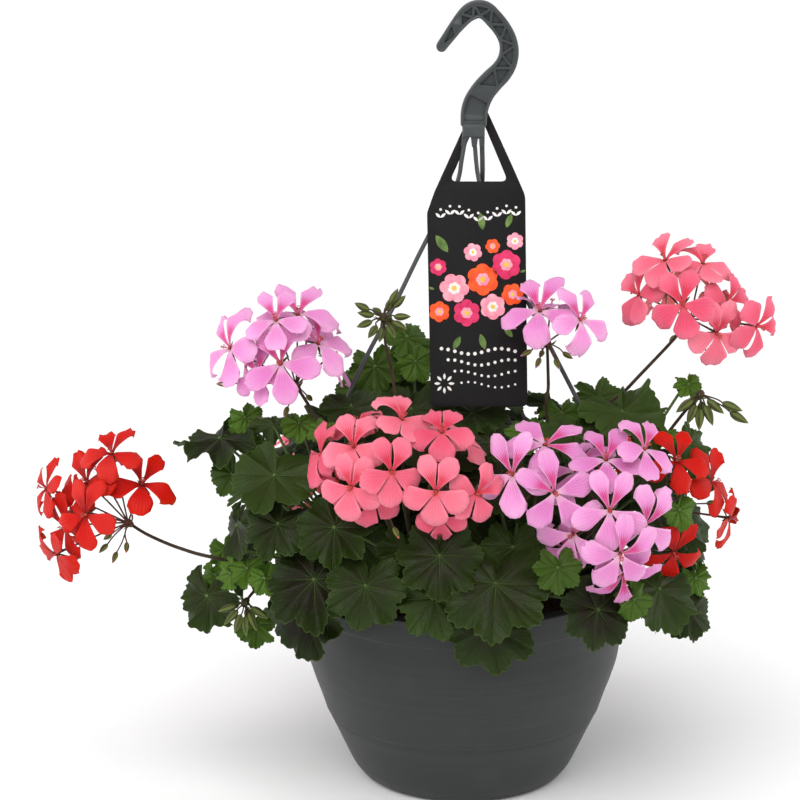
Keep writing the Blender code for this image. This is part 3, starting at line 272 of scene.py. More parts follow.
class Heap:
    """Gathers many small shapes into one mesh: points in mm, faces, finishes and two maps of the surface."""

    def __init__(self):
        self.points, self.faces, self.finishes, self.first, self.second = [], [], [], [], []
        self.count = 0

    def put(self, points, face_sets, finish=0, first=(0, 0), second=(0, 0)):
        """Adds a shape; the finish is one number, or one for each set of faces."""
        points = np.asarray(points, float)
        for faces, number in zip(face_sets, np.broadcast_to(finish, len(face_sets))):
            self.faces.append(np.asarray(faces, int) + self.count)
            self.finishes.append(np.full(len(faces), number))
        self.points.append(points)
        self.first.append(np.broadcast_to(first, (len(points), 2)))
        self.second.append(np.broadcast_to(second, (len(points), 2)))
        self.count += len(points)

    def mesh(self, name, *maps):
        corners = np.concatenate([faces.ravel() for faces in self.faces])
        sides = np.concatenate([np.full(len(faces), faces.shape[1]) for faces in self.faces])
        mesh = bpy.data.meshes.new(name)
        mesh.vertices.add(self.count)
        mesh.vertices.foreach_set("co", (MM * np.concatenate(self.points)).ravel())
        mesh.loops.add(len(corners))
        mesh.loops.foreach_set("vertex_index", corners)
        mesh.polygons.add(len(sides))
        mesh.polygons.foreach_set("loop_start", np.cumsum(sides) - sides)
        mesh.polygons.foreach_set("material_index", np.concatenate(self.finishes))
        mesh.polygons.foreach_set("use_smooth", np.ones(len(sides), bool))
        for map_name, values in zip(maps, (self.first, self.second)):
            layer = mesh.uv_layers.new(name=map_name)
            layer.data.foreach_set("uv", np.concatenate(values)[corners].ravel())
        mesh.update(calc_edges=True)
        return stand(name, mesh)


def ring_faces(rings, sides, start=0):
    """Quads between rings of points that follow one another."""
    k = np.arange(sides)
    first = start + np.arange(rings - 1)[:, None] * sides
    a, b = first + k, first + (k + 1) % sides
    return np.stack([a, b, b + sides, a + sides], 2).reshape(-1, 4)


def closed_tube(rings, sides, start, first, last):
    """Quads between rings that begin at a start, and fans from a first and a last point over the ends."""
    k = np.arange(sides)
    end = start + (rings - 1) * sides
    after = (k + 1) % sides
    caps = [np.stack([start + after, start + k, 0 * k + first], 1),
            np.stack([end + k, end + after, 0 * k + last], 1)]
    return [ring_faces(rings, sides, start), np.vstack(caps)]


def pebble(centre, size, draw):
    """A small rough lump: a coarse ball whose points are pushed in and out at random."""
    points = [(0, 0, -1)]
    for height in (-0.55, 0.1, 0.7):
        reach = math.sqrt(1 - height * height)
        points += [(reach * math.cos(a), reach * math.sin(a), height) for a in np.arange(6) * math.pi / 3]
    points.append((0, 0, 1))
    points = np.array(points) * [[draw.uniform(0.7, 1.2)] for _ in points] * size
    angle = draw.uniform(0, 6.3)
    axis = Vector([draw.uniform(-1, 1) for _ in range(3)]).normalized()
    return points @ np.array(Matrix.Rotation(angle, 3, axis)).T + centre, closed_tube(3, 6, 1, 0, 19)


def crumbly(name, grain, dark, light):
    """Peat, bark or perlite: dull, crumbly and never glossy."""
    skin, add, place = new_finish(name, IOR=1.4)
    crumb = add("TexNoise", {"Vector": place, "Scale": 1000 / grain, "Detail": 8.0})
    colour = add("ValToRGB", [crumb], stops=[(0.3, dark), (0.7, light)])
    return surface(skin, colour, crumb, (0.85, 1.0), crumb, 0.9, 1.5)


def make_soil():
    draw = random.Random(3)
    waves = [(draw.uniform(0.03, 0.5), draw.uniform(0, 6.3), draw.uniform(0, 6.3)) for _ in range(26)]

    def ground(reach, turn):
        """A place on the crumbly top, which slumps towards the wall."""
        x, y = reach * np.cos(turn), reach * np.sin(turn)
        z = SOIL_TOP - SOIL_SLUMP * np.clip((reach - SLUMP_START) / (SOIL_EDGE - SLUMP_START), 0, 1)
        z = z + sum(0.42 / (0.4 + 4 * f) * np.sin(f * (x * math.cos(a) + y * math.sin(a)) + p)
                    for f, a, p in waves)
        return np.stack([x, y, z], -1)

    heap = Heap()
    spoke = TURN * np.arange(SOIL_SPOKES) / SOIL_SPOKES
    rings = SOIL_EDGE * ((np.arange(SOIL_RINGS)[:, None] + 1) / SOIL_RINGS)
    wall = [np.stack([r * np.cos(spoke), r * np.sin(spoke), 0 * spoke + z], 1) for r, z in SOIL_WALL]
    points = np.vstack([ground(0, 0), ground(rings, spoke).reshape(-1, 3), *wall, (0, 0, SOIL_WALL[-1][1])])
    body = closed_tube(SOIL_RINGS + len(wall), SOIL_SPOKES, 1, 0, len(points) - 1)
    heap.put(points, [faces[:, ::-1] for faces in body])
    for k in range(SOIL_BITS):
        turn, reach = draw.uniform(0, 6.3), 125 * math.sqrt(draw.random())
        if k % 9:
            size = [draw.uniform(1.5, 5), draw.uniform(1, 2.4), draw.uniform(0.7, 1.6)]
        else:
            size = [draw.uniform(1.2, 2.2)] * 3
        heap.put(*pebble(ground(reach, turn) + (0, 0, 0.3), size, draw), 2 if k % 9 else 1)
    finishes = [crumbly("peat_compost_dark", 4, "#1a110b", "#3b2a1d"),
                crumbly("perlite_pale_grains", 2, "#b9b3a4", "#ddd8cc"),
                crumbly("bark_chips_brown", 3, "#2f1f13", "#5b4029")]
    dress(heap.mesh("soil_fill"), finishes, "potting_soil", "soil")


make_soil()


# The stems: twelve green shoots that turn woody at the soil, each with knobs where its leaves have grown.
# Leaf stalks and flower stalks spring from them.

STEM_RADIUS = 4.2
STEM_PLACES = ([(math.radians(22.5 + 45 * k), 74.0, 112.0, 214.0) for k in range(8)]
               + [(math.radians(90 * k + 12), 30.0, 42.0, 262.0) for k in range(4)])
STEM_RINGS = 30
LEAF_POINTS = 21
FLORET_POINTS = 25


def stem_path(azimuth, foot, tip, height):
    """From its hole in the soil, straight up and then leaning out in two slight bends."""
    out = np.array((math.cos(azimuth), math.sin(azimuth), 0))
    across = np.array((-out[1], out[0], 0))
    up = np.array((0, 0, 1.0))
    base = foot * out + SOIL_TOP * up
    bends = [(0.30, 2.5, 0.38), (0.62, -2.0, 0.70), (1, 0, 1)]
    return [base - 20 * up, base + up] + [base + lean * (tip - foot) * out + aside * across
                                          + rise * (height - SOIL_TOP) * up for lean, aside, rise in bends]


def root_on_stem(k, height):
    """The place on a stem where a stalk that ends at this height leaves it."""
    path = through(stem_path(*STEM_PLACES[k])[1:], 13)
    return path[round(min(1.0, max(0.2, (height - 170) / 130)) * 11)]


def nearest_stem(point):
    tips = [stem_path(*place)[-1] for place in STEM_PLACES]
    return min(range(len(tips)), key=lambda k: np.linalg.norm((point - tips[k]) * (1, 1, 0.5)))


def unit(v):
    return v / np.linalg.norm(v)


def headings(path):
    """The way a path runs at each of its points."""
    ahead = np.gradient(path, axis=0)
    return ahead / np.linalg.norm(ahead, axis=1)[:, None]


def tube(path, radii, sides):
    """Points and faces of a tube along a path, without twist and with pointed ends."""
    path = np.asarray(path, float)
    radii = np.broadcast_to(radii, len(path))
    ahead = headings(path)
    side = np.array((0, 0, 1.0)) if abs(ahead[0][2]) < 0.9 else np.array((1.0, 0, 0))
    turn = TURN * (np.arange(sides) + 0.5) / sides
    rings = []
    for point, way, radius in zip(path, ahead, radii):
        side = unit(side - way * side.dot(way))
        rings.append(point + radius * (np.cos(turn)[:, None] * side
                                       + np.sin(turn)[:, None] * np.cross(way, side)))
    ends = [path[0] - ahead[0] * radii[0] * 0.4, path[-1] + ahead[-1] * radii[-1] * 0.4]
    last = len(path) * sides
    return np.vstack(rings + ends), closed_tube(len(path), sides, 0, last, last + 1)


def along_map(run, sides):
    """A map for a tube: how far along it each ring lies, and the way round it."""
    rings = np.stack([np.repeat(run, sides), np.tile(np.arange(sides) / sides, len(run))], 1)
    return np.vstack([rings, [(run[0], 0)], [(run[-1], 0)]])


def put_tube(heap, path, radii, sides, finish=0):
    path = np.asarray(path, float)
    run = np.concatenate([[0], np.cumsum(np.linalg.norm(np.diff(path, axis=0), axis=1))])
    heap.put(*tube(path, radii, sides), finish, along_map(run, sides))


def stripes_round(add, count):
    """Stripes that run along a tube, as many as this round it."""
    way_round = add("SeparateXYZ", [add("UVMap", uv_map="AlongRound")], out="Y")
    return add("SINE", [add("MULTIPLY", [way_round, TURN * count])])


def green_stem(name, young, old, flush):
    """A fleshy stalk with fine hairs: satin, ribbed lengthways, flushed with brown-red in places."""
    skin, add, place = new_finish(name, IOR=1.42, Specular_IOR_Level=0.25, Sheen_Weight=0.05,
                                  Sheen_Roughness=0.5)
    patch = add("TexNoise", {"Vector": place, "Scale": 55.0, "Detail": 4.0})
    colour = add("ValToRGB", [patch], stops=[(0.35, young), (0.55, old), (0.72, flush)])
    # Hairs of 0.1 mm are drawn as 0.5 mm speckles
    hairs = add("TexNoise", {"Vector": place, "Scale": 2000.0, "Detail": 1.0})
    ribs = add("Bump", {"Height": stripes_round(add, 5), "Strength": 0.25, "Distance": 0.2 * MM})
    return surface(skin, colour, hairs, (0.45, 0.65), hairs, 0.3, 0.2, Normal=ribs)


stem_finish = green_stem("shoot_green_and_woody", "#58683a", "#4b5230", "#54402d")
stalk_finish = green_stem("leaf_stalk_green", "#5d7439", "#4d6332", "#5a5234")
flower_stalk_finish = green_stem("flower_stalk_olive_brown", "#40331f", "#35271b", "#2c1c15")


def put_stem(heap, place, draw):
    """A stem, thicker at each knob and towards the soil."""
    share = np.linspace(0, 1, STEM_RINGS)
    knobs = np.clip(np.sin(share * 26 + draw.uniform(0, 6)), 0.4, 1) - 0.4
    radii = STEM_RADIUS * (1.05 - 0.42 * share + 0.35 * knobs)
    put_tube(heap, through(stem_path(*place), STEM_RINGS), radii, 12)


def blades_of(name, count):
    """Each fan of faces in a solid: its middle, its edge in order and the line down its stalk, in mm."""
    shape = bmesh.new()
    shape.from_mesh(frame["nodes"][name].data)
    bmesh.ops.remove_doubles(shape, verts=shape.verts, dist=0.00002)
    found = []
    for middle in shape.verts:
        if len(middle.link_edges) != count:
            continue
        step = {}
        for face in middle.link_faces:
            corners = list(face.verts)
            k = corners.index(middle)
            step[corners[(k + 2) % 3]] = corners[(k + 1) % 3]
        edge = [next(iter(step))]
        while len(edge) < count and edge[-1] in step:
            edge.append(step[edge[-1]])
        if len(set(edge)) != count:
            continue
        seen, here, line = {middle, *edge}, set(edge), []
        for _ in range(4):
            here = {link.other_vert(v) for v in here for link in v.link_edges} - seen
            if not 3 <= len(here) <= 14:
                break
            line.append(sum((v.co for v in here), Vector()) / len(here) / MM)
            seen |= here
            if len(here) != 3:
                break
        found.append((np.array(middle.co / MM), np.array([v.co / MM for v in edge]), np.array(line)))
    shape.free()
    return found


# The leaves: thin rounded blades of seven shallow lobes with scalloped, ruffled margins, on stalks that
# join them at the notch. Dark glossy green with a browner ring, pale veins and a fine pale edge.

LOBE_STEP = 47.0
LEAF_SHEET = 0.9
TEETH_A_LOBE = 5
YOUNG_WIDTH = 46
SUNLIT_HEIGHT = 290
NOTCH_SIDE = [167.5, 171, 174, 176.5, 178.5]
BLADE_ANGLES = np.concatenate([[-180], -np.array(NOTCH_SIDE[::-1]), -164.5 + 2.35 * np.arange(141),
                               NOTCH_SIDE])
# Each ring's share of the way out, and how many of the angles it steps over for each of its points
BLADE_RINGS = [(0.06, 4), (0.14, 4), (0.25, 2), (0.38, 2), (0.52, 2), (0.66, 1), (0.79, 1), (0.90, 1),
               (0.97, 1), (1.0, 1)]
FAN_ANGLES = [-180.0]
for lobe_number in range(-3, 4):
    FAN_ANGLES += [LOBE_STEP * lobe_number + offset for offset in (-11, 11, LOBE_STEP / 2)]
FAN_ANGLES.pop()


def leaf_reach(angle):
    """The solid leaf's reach for a width of 1."""
    return (0.485 + 0.035 * np.cos(np.radians(angle))) * (1 + 0.075 * np.cos(TURN * angle / LOBE_STEP))


def scalloped_reach(angle):
    """The real margin: the same lobes, with rounded teeth and narrow nicks between them."""
    tooth = np.abs(np.sin(np.pi * TEETH_A_LOBE * (angle / LOBE_STEP + 0.5) + 0.5 * np.sin(angle / 17.0)))
    sinus = np.clip(np.abs(angle / LOBE_STEP - np.round(angle / LOBE_STEP)) * 2 - 0.72, 0, 1) / 0.28
    reach = leaf_reach(angle) * (1 + 0.075 * (tooth - 0.5) - 0.08 * sinus ** 1.5 + 0.015)
    beside_notch = (1 - np.clip((np.abs(angle) - 152) / 28, 0, 1)) ** 0.8
    return reach * beside_notch + 0.13 * (1 - beside_notch)


def blade_faces():
    """Faces of one leaf: rings of points from the middle out, an upper and a lower skin and the rim."""
    sizes = [len(BLADE_ANGLES) // skip for share, skip in BLADE_RINGS]
    starts = np.cumsum([1] + sizes)
    k = np.arange(sizes[0])
    quads, tris = [], [np.stack([0 * k, 1 + (k + 1) % sizes[0], 1 + k], 1)]
    for inner, outer, count, next_count in zip(starts, starts[1:], sizes, sizes[1:]):
        k = np.arange(count)
        after = (k + 1) % count
        if count == next_count:
            quads.append(np.stack([inner + k, inner + after, outer + after, outer + k], 1))
        else:
            a, b, c = outer + 2 * k, outer + 2 * k + 1, outer + (2 * k + 2) % next_count
            here, after = inner + k, inner + after
            tris += [np.stack(corners, 1) for corners in ([here, b, a], [here, c, b], [here, after, c])]
    quads, tris, total = np.vstack(quads), np.vstack(tris), starts[-1]
    k = np.arange(sizes[-1])
    edge, after = starts[-2] + k, starts[-2] + (k + 1) % sizes[-1]
    rim = np.stack([edge, after, after + total, edge + total], 1)
    return [quads, tris, rim, quads[:, ::-1] + total, tris[:, ::-1] + total]


BLADE_FACES = blade_faces()


def leaf_blade(middle, edge, draw):
    """The fine blade that stands for one fan of the solid: points, both maps and its own axes."""
    near = int(np.argmin(np.linalg.norm(edge - middle, axis=1)))
    edge = np.roll(edge, -near, axis=0)
    tip = unit(edge[10] + edge[11] - 2 * middle)
    right = edge[16] + edge[17] - edge[4] - edge[5]
    right = unit(right - tip * right.dot(tip))
    up = np.cross(right, tip)
    reach = np.linalg.norm((edge[10] + edge[11]) / 2 - middle) / math.cos(math.radians(11))
    width = reach / float(leaf_reach(np.array(11.0)))
    joint = middle - up * min(1.0, width / 60 + 0.3)
    rise = (edge - joint) @ up
    rim_height = np.interp(BLADE_ANGLES, FAN_ANGLES + [180.0], [*rise, rise[0]])
    rim_height = sum(np.roll(rim_height, k) for k in range(-4, 5)) / 9
    young = max(0.0, min(1.0, (YOUNG_WIDTH - width) / 16))
    ruffles = draw.choice((5, 7, 8))
    phase, second_phase = draw.uniform(0, 6.3), draw.uniform(0, 6.3)
    depth = width * (0.052 + 0.035 * young) * draw.uniform(0.7, 1.6)
    roll, roll_phase = width * draw.uniform(0.01, 0.08), draw.uniform(0, 6.3)
    plane, shares, heights = [np.zeros((1, 2))], [np.zeros(1)], [np.zeros(1)]
    for share, skip in BLADE_RINGS:
        angle = BLADE_ANGLES[::skip]
        turn = np.radians(angle)
        far = width * scalloped_reach(angle) * share
        lobe = angle / LOBE_STEP
        off_vein = lobe - np.clip(np.round(lobe), -3, 3)
        lateral = np.abs(np.sin(np.radians(off_vein * LOBE_STEP))) * far
        # The solid's own bend, swellings between sunken veins, ruffles that grow to the margin, and teeth
        height = rim_height[::skip] * share ** 1.7
        height += 0.020 * width * share ** 0.8 * (1 - np.cos(TURN * off_vein)) * (1 - 0.5 * share)
        height -= 0.6 * np.exp(-(lateral / 1.3) ** 2) * (1 - 0.6 * share)
        sway = 0.8 * np.sin(2 * turn + second_phase)
        height += depth * share ** 2.4 * np.sin(ruffles * turn + phase + sway)
        height += 0.35 * depth * share ** 7 * np.sin((ruffles * 2 + 3) * turn + second_phase)
        height += roll * share ** 2 * np.sin(2 * turn + roll_phase)
        height += 0.10 * width * off_vein ** 2 * 4 * share ** 2 * (0.5 - 0.35 * np.sin(3 * turn + phase))
        height += 0.25 * share ** 8 * np.sin(TURN * TEETH_A_LOBE * lobe)
        plane.append(np.stack([far * np.sin(turn), far * np.cos(turn)], 1))
        shares.append(np.full(len(angle), share))
        heights.append(height)
    plane, shares, heights = np.vstack(plane), np.concatenate(shares), np.concatenate(heights)
    half = LEAF_SHEET / 2 * (1 - 0.6 * shares ** 4)
    base = joint + plane[:, :1] * right + plane[:, 1:] * tip
    points = np.vstack([base + (heights + half)[:, None] * up, base + (heights - half)[:, None] * up])
    # Painted light: leaves high on the bush are mixed towards the lighter young green
    sunlit = 0.14 * np.clip((joint[2] - SUNLIT_HEIGHT) / 60, 0, 1)
    tone = min(1.0, 0.85 * young + draw.uniform(0, 0.3) ** 1.3 + sunlit)
    first = np.vstack([plane, plane]) / 100
    second = np.stack([np.tile(shares, 2), np.full(2 * len(shares), tone)], 1)
    return points, first, second, joint, up, tip


def leaf_skin(name, ring, young, vein, edge, rough_range, sheen):
    """Leaf skin: waxy and puckered; on the underside fine hairs give it a faint grey sheen."""
    skin, add, place = new_finish(name, IOR=1.42, Specular_IOR_Level=0.23, Sheen_Weight=sheen,
                                  Sheen_Roughness=0.4)
    plane = add("UVMap", uv_map="LeafPlane")
    share, tone = add("SeparateXYZ", [add("UVMap", uv_map="LeafShare")], out=("X", "Y"))
    radius_mm = add("MULTIPLY", [add("VectorMath", [plane], out="Value", operation="LENGTH"), 100.0])
    angle = add("ARCTAN2", add("SeparateXYZ", [plane], out=("X", "Y")))
    lobe = add("DIVIDE", [angle, math.radians(LOBE_STEP)])
    off = add("SUBTRACT", [lobe, add("ROUND", [lobe])])
    off_angle = add("MULTIPLY", [off, math.radians(LOBE_STEP)])
    lateral = add("MULTIPLY", [add("ABSOLUTE", [add("SINE", [off_angle])]), radius_mm])
    along = add("MULTIPLY", [add("COSINE", [off_angle]), radius_mm])
    width = add("MapRange", [share, 0.0, 1.0, 1.0, 0.35])
    main = add("MapRange", [lateral, 0.0, width, 1.0, 0.0], interpolation_type="SMOOTHSTEP")
    # Branch veins leave each main vein every 9 mm, in turn on either side, at about 50 degrees
    slanted = add("MULTIPLY_ADD", [lateral, -1.2, along])
    slanted = add("MULTIPLY_ADD", [add("SIGN", [off]), 2.2, slanted])
    slanted = add("MULTIPLY_ADD", [add("TexNoise", {"Vector": plane, "Scale": 14.0}), 5.0, slanted])
    to_branch = add("PINGPONG", [slanted, 4.5])
    branch = add("MapRange", [to_branch, 0.1, 0.75, 1.0, 0.0], interpolation_type="SMOOTHSTEP")
    netting = add("TexVoronoi", {"Vector": plane, "Scale": 36.0}, feature="DISTANCE_TO_EDGE")
    netting = add("MapRange", [netting, 0.0, 0.16, 1.0, 0.0])
    patch = add("TexNoise", {"Vector": place, "Scale": 60.0, "Detail": 4.0})
    colour = add("ValToRGB", [add("MULTIPLY_ADD", [patch, 0.22, share])], stops=ring)
    vein_share = add("MULTIPLY", [main, add("MapRange", [share, 0.05, 0.9, 0.85, 0.12])])
    branch_share = add("MULTIPLY", [branch, 0.13])
    margin = add("MapRange", [share, 0.965, 1.0, 0.0, 0.8])
    # The tone mixes in the young green: for young leaves, at random, and as painted light on the highest
    # leaves
    for amount, hue in ((tone, young), (vein_share, vein), (branch_share, vein), (margin, edge)):
        colour = add("MixRGB", [amount, colour, linear(hue)])
    relief = add("MULTIPLY", [main, -0.9])
    for pattern, lift in ((branch, -0.4), (netting, -0.12), (patch, 1.2)):
        relief = add("MULTIPLY_ADD", [pattern, lift, relief])
    return surface(skin, colour, patch, rough_range, relief, 0.75, 0.9)


leaf_top = leaf_skin("leaf_skin_glossy_green",
                     [(0.08, "#1e260a"), (0.3, "#161c05"), (0.5, "#191405"), (0.66, "#171706"),
                      (0.82, "#192205"), (1.0, "#1e2a07")],
                     "#4b6b1d", "#45552a", "#3e5420", (0.4, 0.58), 0.0)
leaf_back = leaf_skin("leaf_skin_dull_underside", [(0.1, "#48583a"), (0.5, "#333f24"), (1.0, "#364526")],
                      "#5c7236", "#6a7b4e", "#58703a", (0.55, 0.7), 0.1)


# Smaller leaves inside the bush, between the stems: the middle, the width and the way they face
INNER_LEAVES = [((-73, -10, 352), 42, (-0.1, -0.8, 0.6)), ((-55, -5, 334), 46, (0.15, -0.75, 0.65)),
                ((-87, -5, 334), 40, (-0.3, -0.7, 0.65)), ((-49, 2, 304), 50, (0.0, -0.7, 0.7)),
                ((-182, -44, 304), 26, (-0.3, -0.6, 0.7)), ((-172, -46, 298), 22, (0.2, -0.7, 0.7)),
                ((-193, -42, 297), 20, (-0.6, -0.5, 0.6)), ((-53, -50, 215), 60, (0.0, -0.9, 0.45)),
                ((-16, -44, 212), 60, (0.1, -0.9, 0.4)), ((26, -50, 215), 60, (-0.1, -0.9, 0.45)),
                ((14, -18, 244), 60, (0.0, -0.85, 0.55)), ((-58, -22, 262), 60, (0.1, -0.85, 0.5)),
                ((72, -48, 222), 60, (0.1, -0.9, 0.4)), ((-96, -40, 232), 60, (-0.2, -0.9, 0.4)),
                ((112, -30, 232), 60, (0.3, -0.85, 0.4)), ((112, 12, 320), 42, (0.2, -0.7, 0.7)),
                ((184, -60, 158), 46, (0.5, -0.75, 0.35)), ((60, 60, 225), 60, (0.2, 0.9, 0.4)),
                ((-40, 62, 225), 60, (-0.2, 0.9, 0.4)), ((-110, 30, 235), 56, (-0.8, 0.4, 0.4)),
                ((-190, -42, 270), 36, (-0.3, -0.8, 0.5)), ((-178, -44, 318), 28, (-0.1, -0.7, 0.7)),
                ((-40, -14, 357), 34, (0.0, -0.75, 0.65)), ((-171, -48, 142), 34, (-0.4, -0.8, 0.4)),
                ((190, -50, 183), 28, (0.4, -0.8, 0.4)), ((-197, -46, 206), 28, (-0.4, -0.8, 0.4)),
                ((182, -30, 342), 24, (0.2, -0.7, 0.7)), ((-205, -46, 185), 26, (-0.5, -0.8, 0.3)),
                ((-40, -30, 238), 52, (0.0, -0.9, 0.45))]


def inner_leaf(centre, width, facing, draw):
    """The fan, as in a solid leaf, and the stalk of one of the smaller leaves."""
    up = unit(np.array(facing, float))
    tip = np.array((draw.uniform(-0.6, 0.6), -0.2, -1.0))
    tip = unit(tip - up * tip.dot(up))
    joint = np.array(centre, float)
    turn = np.radians(FAN_ANGLES)
    reach = width * leaf_reach(np.array(FAN_ANGLES))
    reach[0] = 0.13 * width
    rise = width * (0.03 * np.sin(3 * turn + draw.uniform(0, 6.3)) - 0.06)
    edge = joint + np.outer(reach * np.sin(turn), np.cross(tip, up)) + np.outer(reach * np.cos(turn), tip)
    stem = nearest_stem(joint)
    root = root_on_stem(stem, joint[2] - 40)
    arrive = unit(0.42 * tip + 0.9 * up)
    line = np.array([joint - arrive, joint - arrive * 9, (joint + root) / 2 + (0, 0, 5), root])
    return stem, (joint + up * min(1.0, width / 60 + 0.3), edge + np.outer(rise, up), line)


def make_leafy_stem(k):
    """A stem with its leaf stalks, and in a second piece its leaf blades."""
    draw = random.Random(100 + k)
    shoots, blades = Heap(), Heap()
    put_stem(shoots, STEM_PLACES[k], draw)
    inner = [inner_leaf(*leaf, random.Random(str(leaf))) for leaf in INNER_LEAVES]
    fans = blades_of(f"leafy_stem_{k}", LEAF_POINTS) + [fan for stem, fan in inner if stem == k]
    for middle, edge, line in fans:
        points, first, second, joint, up, tip = leaf_blade(middle, edge, draw)
        blades.put(points, BLADE_FACES, (0, 0, 0, 1, 1), first, second)
        run = [joint + up * 0.3, joint - unit(0.42 * tip + 0.9 * up) * 3, *line[1:]]
        if len(run) > 2:
            run.append(run[-1] + unit(run[-1] - run[-2]) * 3)
            from_leaf, from_stem = np.arange(18), 17 - np.arange(18)
            flare = 1 + 0.35 * np.exp(-from_leaf / 1.2) + 0.5 * np.exp(-from_stem / 1.5)
            put_tube(shoots, through(run, 18), 1.2 * flare, 8, 1)
    return shoots, blades


leafy_stems = [make_leafy_stem(k) for k in range(len(STEM_PLACES))]


# The flower stalks and buds: each head stands on a long olive stalk whose top is a knob with small bracts.
# Closed buds are striped spindles that nod on short hooked stalks, their tips showing the petals' colour.

BUD_TIP_COLOURS = {"lilac": "#e58ad6", "salmon": "#f5776f", "red": "#d4230f"}
BUD_RINGS = 12
BUD_SIDES = 15
BRACTS_A_KNOB = 7


def bud_skin(name, green, stripe, tip):
    """A closed bud: hairy sepals, green with brown stripes lengthways, petal colour at the tip."""
    skin, add, place = new_finish(name, IOR=1.42, Specular_IOR_Level=0.22, Sheen_Weight=0.03,
                                  Sheen_Roughness=0.5)
    patch = add("TexNoise", {"Vector": place, "Scale": 300.0, "Detail": 3.0})
    stripes = add("MULTIPLY_ADD", [stripes_round(add, 5), 0.5, patch])
    colour = add("ValToRGB", [stripes], stops=[(0.35, green), (0.85, stripe)])
    along = add("SeparateXYZ", [add("UVMap", uv_map="AlongRound")], out="X")
    colour = add("MixRGB", [add("MapRange", [along, 0.8, 0.95, 0.0, 1.0]), colour, linear(tip)])
    return surface(skin, colour, patch, (0.5, 0.7), stripes, 0.5, 0.5)


bud_finish = bud_skin("bud_sepals_green_striped", "#58692f", "#443e27", "#64723a")
calyx_finish = bud_skin("calyx_brown_green", "#6a6a3a", "#5a2f2a", "#6b3a2e")


def put_bud(heap, root, centre, length, width, finishes, draw):
    """A spindle with five shallow flutes, on a stalk that hooks over before it."""
    way = unit(centre - root)
    side = unit(np.cross(way, (0.3, 0.2, 1.0)))
    hook = root + 0.55 * (centre - root) + side * draw.uniform(-2, 2) + np.array((0, 0, 1.2))
    start = centre - way * length * 0.4
    put_tube(heap, through([root, hook, start, start + way * 1.5], 10), 0.62, 6, finishes[0])
    share = np.linspace(0, 1, BUD_RINGS)
    swell = np.sin(np.pi * np.clip(share * 0.96 + 0.04, 0, 1) ** 0.72) ** 0.8
    path = start + np.outer(share * length, way)
    points, faces = tube(path, np.maximum(0.12, width / 2 * swell), BUD_SIDES)
    flutes = 1 + 0.07 * np.sin(np.arange(BUD_SIDES) / BUD_SIDES * TURN * 5)
    rings = points[:-2].reshape(BUD_RINGS, BUD_SIDES, 3)
    rings[:] = path[:, None] + (rings - path[:, None]) * flutes[:, None]
    heap.put(points, faces, finishes[1], along_map(share, BUD_SIDES))


def put_bract(heap, base, way, out, length, width, finish):
    """A small pointed scale: a folded blade that narrows to its tip."""
    share = np.array([0, 0.3, 0.6, 0.85, 1.0])
    half = width / 2 * np.array([0.7, 1.0, 0.8, 0.4, 0.06])
    side = unit(np.cross(way, out))
    spine = base + np.outer(share * length, way) + np.outer(share ** 2 * length * 0.25, out)
    corners = [(-1, 0.25), (0, 0.25), (1, 0.25), (1, -0.15), (0, -0.15), (-1, -0.15)]
    points = [spine + half[:, None] * side * k + (lift - 0.35 * abs(k) * half)[:, None] * out
              for k, lift in corners]
    ends = [(0, 5, 4, 1), (1, 4, 3, 2), (24, 25, 28, 29), (25, 26, 27, 28)]
    along_across = np.stack([np.repeat(share, 6), np.tile([0, 0.1, 0.2], 10)], 1)
    heap.put(np.stack(points, 1).reshape(-1, 3), [ring_faces(5, 6), ends], finish, along_across)


def put_knob(heap, centre, way, stalk_finish, bract_finish, draw):
    """The knob at the top of a flower's stalk, with a collar of bracts."""
    path = np.array([centre + way * s for s in (-4.5, -3, -1, 1, 2.6, 3.4)])
    put_tube(heap, path, np.array([2.0, 2.6, 3.4, 3.3, 2.2, 1.0]), 12, stalk_finish)
    side = unit(np.cross(way, (0.2, 0.1, 1.0)))
    for k in range(BRACTS_A_KNOB):
        turn = TURN * (k + draw.uniform(-0.2, 0.2)) / BRACTS_A_KNOB
        out = math.cos(turn) * side + math.sin(turn) * np.cross(way, side)
        put_bract(heap, centre - way * 2 + out * 2.4, unit(0.25 * way + out * 0.9), way,
                  draw.uniform(4.5, 6.5), 3.0, bract_finish)


BUD_CLUSTERS = [
    dict(middle=(-66, -74, 409), route=[(-64, -74, 385), (-57, -72, 347)], length=13.42, width=5.98,
         buds=[(-16, -4, 9), (-13, -3, 3), (-14, -6, -4), (-8, -10, -9), (-2, -11, -11), (6, -9, -9),
               (12, -6, -5), (14, -3, 1), (8, 0, 16), (12, 4, 11), (5, 5, 9), (-5, 10, 2), (4, 11, -4),
               (9, 8, -8)]),
    dict(middle=(189, -60, 342), route=[(186, -60, 337), (170, -58, 318)], length=17.08, width=7.15,
         buds=[(-12, -4, -8), (-7, -6, -14), (-1, -7, -18), (6, -5, -15), (11, -2, -9), (24, -4, -9),
               (30, -3, -18), (2, 6, -14), (-8, 6, -9)]),
    dict(middle=(-178, -98, 178), route=[(-171, -94, 186), (-162, -86, 192)], length=15.86, width=6.5,
         buds=[(-10, -4, -10), (-5, -7, -14), (1, -7, -16), (6, -5, -13), (11, -2, -7), (-13, 2, -5),
               (3, 5, -13)]),
]
for cluster in BUD_CLUSTERS:
    draw = random.Random(str(cluster["middle"]))
    middle = np.array(cluster["middle"], float)
    route = [np.array(p, float) for p in cluster["route"]]
    stem = nearest_stem(route[-1])
    shoots = leafy_stems[stem][0]
    path = through([root_on_stem(stem, route[-1][2] - 40), *route[::-1], middle], 26)
    put_tube(shoots, path, np.linspace(1.5, 1.1, 26), 10, 2)
    put_knob(shoots, middle, unit(path[-1] - path[-3]), 2, 3, draw)
    for offset in cluster["buds"]:
        put_bud(shoots, middle, middle + offset, cluster["length"], cluster["width"], (2, 3), draw)


